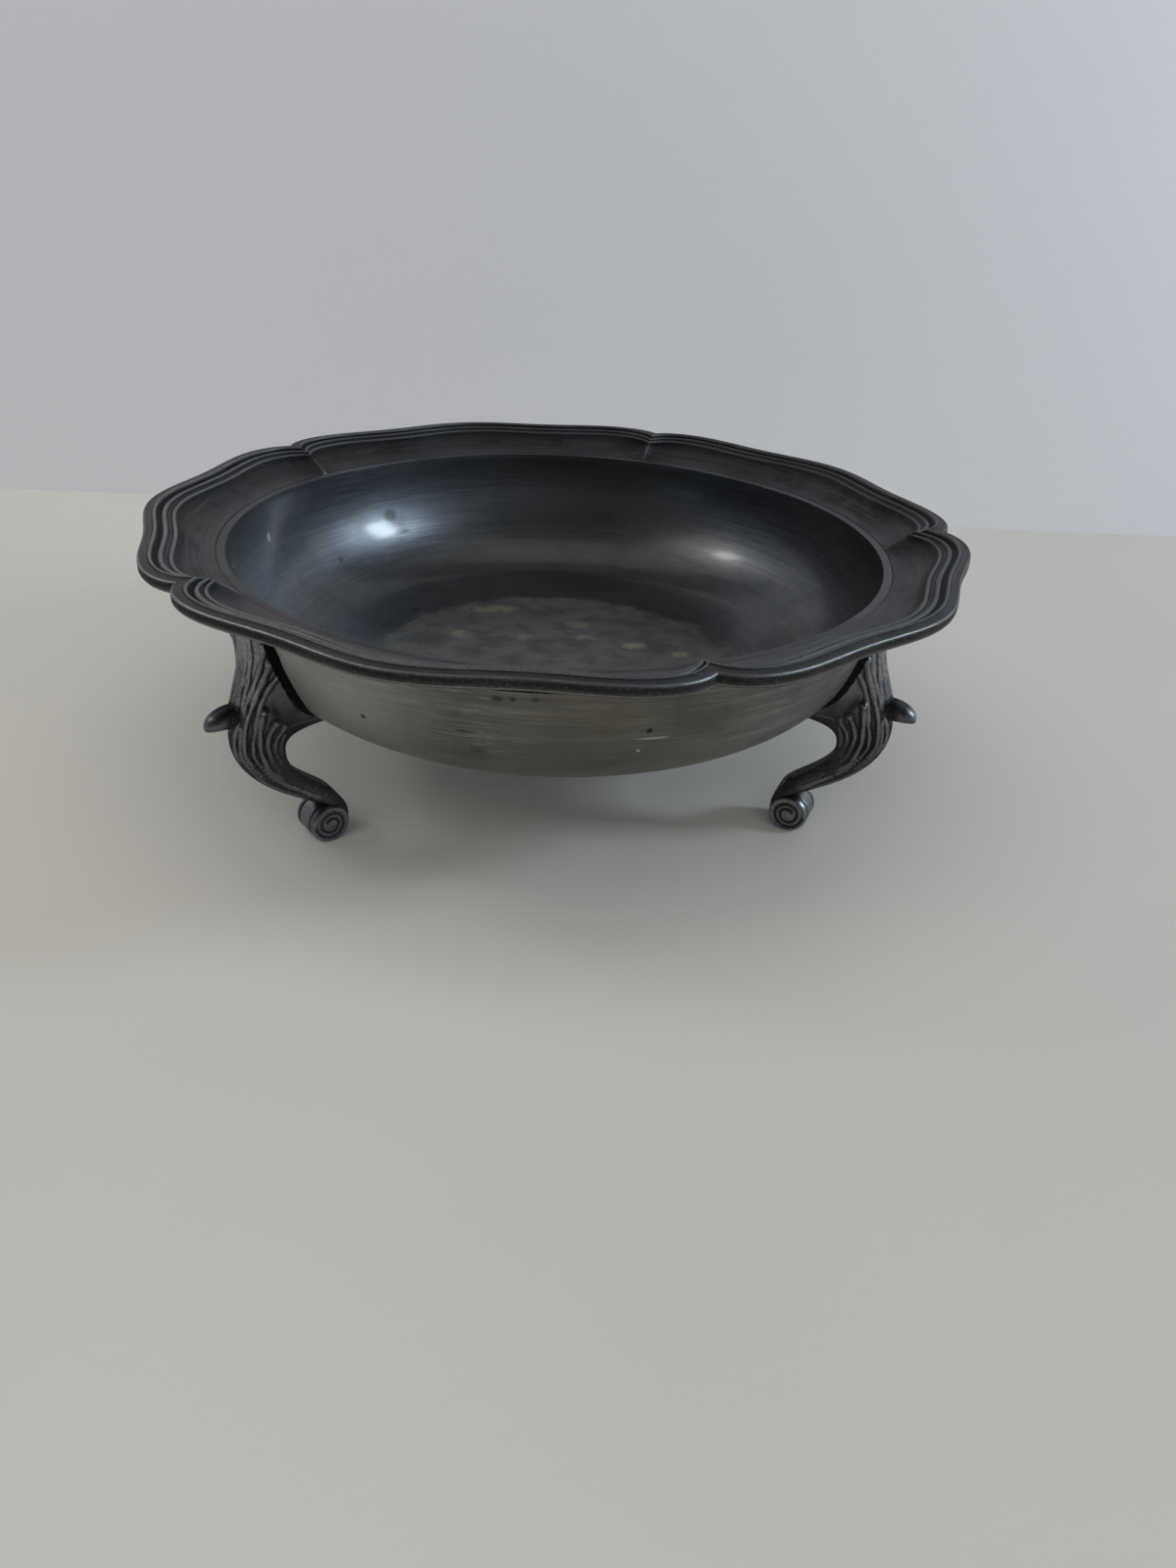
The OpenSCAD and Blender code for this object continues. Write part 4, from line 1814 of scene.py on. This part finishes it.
@dataclass
class Lamp:
    """A soft rectangular lamp that points at the dish.

    Turn and height are angles in degrees, seen from the dish; sizes are in metres. A lamp may show
    in reflections only, or light without showing.
    """

    name: str
    turn: float
    height: float
    away: float
    size: Point
    watts: float
    colour: Colour = (1.0, 1.0, 1.0)
    shows: bool = True
    lights: bool = True

    def build(self, aim: Vector) -> None:
        """Hang the lamp.

        Args:
            aim: Place it points at.
        """
        light = bpy.data.lights.new(self.name, "AREA")
        light.shape = "RECTANGLE"
        light.size, light.size_y = self.size
        light.energy = self.watts
        light.color = self.colour
        lamp = bpy.data.objects.new(self.name, light)
        turn, height = math.radians(self.turn), math.radians(self.height)
        flat = math.cos(height)
        out = Vector((math.cos(turn) * flat, math.sin(turn) * flat, math.sin(height)))
        facing = out.to_track_quat("Z", "Y").to_matrix().to_4x4()
        lamp.matrix_world = Matrix.Translation(aim + out * self.away) @ facing
        lamp.visible_glossy = self.shows
        lamp.visible_diffuse = self.lights
        bpy.context.scene.collection.objects.link(lamp)


@dataclass
class Studio:
    """Floor, backdrop, lamps and camera.

    All sizes are in metres, those of the camera's lens in millimetres, and angles in degrees.
    """

    camera_at: Place = (0.0, -0.394082, 0.215227)
    heading: float = 2.134
    pitch: float = -29.632
    roll: float = 2.985
    lens: float = 27.045
    sensor: float = 36.0
    nearest: float = 0.01
    side: float = 3.0
    wall_y: float = 0.325
    wall_top: float = 0.44
    aim: Place = (0.0, 0.0, 0.06)
    # the floor is painted darker towards the right: painted shade
    floor_paint: PalePaint = PalePaint(
        "floor paint", (0.58, 0.57, 0.53), (0.45, 0.445, 0.42), painted_shade_right=0.85
    )
    wall_wash: PalePaint = PalePaint(
        "wall wash", (0.64, 0.65, 0.68), (0.62, 0.63, 0.66), one_sided=True
    )
    dim: Colour = (0.07, 0.071, 0.075)
    bright: Colour = (0.68, 0.74, 0.86)
    lamps: tuple[Lamp, ...] = (
        Lamp("right window", -6.0, 28.0, 1.1, (0.19, 0.32), 5.7, (0.75, 0.88, 1.0), True, False),
        Lamp("right fill", -6.0, 28.0, 1.1, (0.17, 0.22), 4.0, (0.8, 0.9, 1.0), False),
        Lamp("right glow", -6.0, 30.0, 1.15, (0.9, 0.7), 0.7, (0.36, 0.62, 1.0), True, False),
        Lamp("left window", 179.0, 41.0, 1.1, (0.13, 0.18), 0.85, (1.0, 0.99, 0.97)),
        Lamp("left glow", 179.0, 42.0, 1.15, (0.8, 0.65), 1.1, (1.0, 0.98, 0.95), True, False),
        Lamp("top glow", -90.0, 91.0, 1.2, (1.4, 0.75), 1.15, (1.0, 0.985, 0.96), True, False),
        Lamp("floor fill", -100.0, 60.0, 2.1, (3.2, 3.2), 47.0, (1.0, 0.975, 0.94), False),
    )

    @staticmethod
    def plane(name: str, corners: Sequence[Place], finish: PalePaint) -> bpy.types.Object:
        """Make a flat four-sided sheet.

        Args:
            name: Name of the sheet.
            corners: Its corners.
            finish: Its finish.

        Returns:
            The object.
        """
        mesh = bpy.data.meshes.new(name)
        mesh.from_pydata(corners, [], [(0, 1, 2, 3)])
        mesh.materials.append(finish.make())
        sheet = bpy.data.objects.new(name, mesh)
        bpy.context.scene.collection.objects.link(sheet)
        return sheet

    def camera(self) -> None:
        """Set the camera up where the dish was seen from."""
        data = bpy.data.cameras.new("camera")
        data.lens = self.lens
        data.sensor_fit = "AUTO"
        data.sensor_width = self.sensor
        data.clip_start = self.nearest
        camera = bpy.data.objects.new("camera", data)
        h, p, r = (math.radians(a) for a in (self.heading, self.pitch, self.roll))
        ahead = Vector((math.sin(h) * math.cos(p), math.cos(h) * math.cos(p), math.sin(p)))
        level = Vector((math.cos(h), -math.sin(h), 0.0))
        up = level.cross(ahead)
        right = level * math.cos(r) + up * math.sin(r)
        axes = Matrix((right, right.cross(ahead), -ahead)).transposed()
        camera.matrix_world = Matrix.Translation(self.camera_at) @ axes.to_4x4()
        bpy.context.scene.collection.objects.link(camera)
        bpy.context.scene.camera = camera

    def air(self) -> None:
        """Light the room: pale low down and to the right, dim overhead and towards the camera."""
        world = bpy.data.worlds.new("air")
        world.use_nodes = True
        graph = Graph(world.node_tree)
        way = graph.node("ShaderNodeTexCoord", {}, {})("Generated")
        x, y, z = graph.split(way)
        low, right, behind = z.band(0.66, 0.16), x.band(-0.6, 0.7), y.band(-0.9, 0.1)
        share = low * (0.35 + 0.65 * right) * (0.3 + 0.7 * behind)
        dim = graph.node("ShaderNodeBackground", {}, {"Color": self.dim})
        bright = graph.node("ShaderNodeBackground", {}, {"Color": self.bright})
        both = graph.node("ShaderNodeMixShader", {}, {0: share, 1: dim(0), 2: bright(0)})
        graph.node("ShaderNodeOutputWorld", {}, {"Surface": both(0)})
        bpy.context.scene.world = world

    def build(self) -> None:
        """Build the studio."""
        side, y, top = self.side, self.wall_y, self.wall_top
        left, right = (-side, y, 0.0), (side, y, 0.0)
        ground = [(-side, -side, 0.0), (side, -side, 0.0), right, left]
        floor = self.plane("floor", ground, self.floor_paint)
        upright = [left, right, (side, y, top), (-side, y, top)]
        wall = self.plane("backdrop", upright, self.wall_wash)
        self.air()
        for lamp in self.lamps:
            lamp.build(Vector(self.aim))
        self.camera()
        bpy.context.scene.view_settings.view_transform = "Standard"


def main() -> None:
    """Build the dish and its studio."""
    logging.basicConfig(level=logging.INFO, format="%(name)s: %(message)s")
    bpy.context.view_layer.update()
    bowl = Bowl()
    rim = Rim(bowl)
    turned = TurnedPewter(bowl).make()
    rim_cast = CastPewter(
        "rim pewter", (0.07, 0.07, 0.073), rough=0.44, brushed=0.4, speckle=0.1, patchy=0.35
    ).make()
    leg_cast = CastPewter("leg pewter", (0.155, 0.159, 0.172), rough=0.32, speckle=0.3).make()
    solder = SolderAndSeamShade().make()
    report(bowl.build(turned), Slot.TURNED, "bowl")
    report(rim.build(rim_cast), Slot.RIM, "rim")
    report(RimSolder(bowl, rim).build(solder), Slot.SOLDER, "rim_solder")
    cast = Leg(bowl, LegPlace.LEFT).cast()
    for place in LegPlace:
        leg = Leg(bowl, place)
        name = place.name.lower()
        report(leg.build(cast, leg_cast), Slot.LEG, f"{name}_leg")
        report(LegSolder(leg).build(solder), Slot.SOLDER, f"{name}_leg_solder")
    Studio().build()


if __name__ == "__main__":
    main()
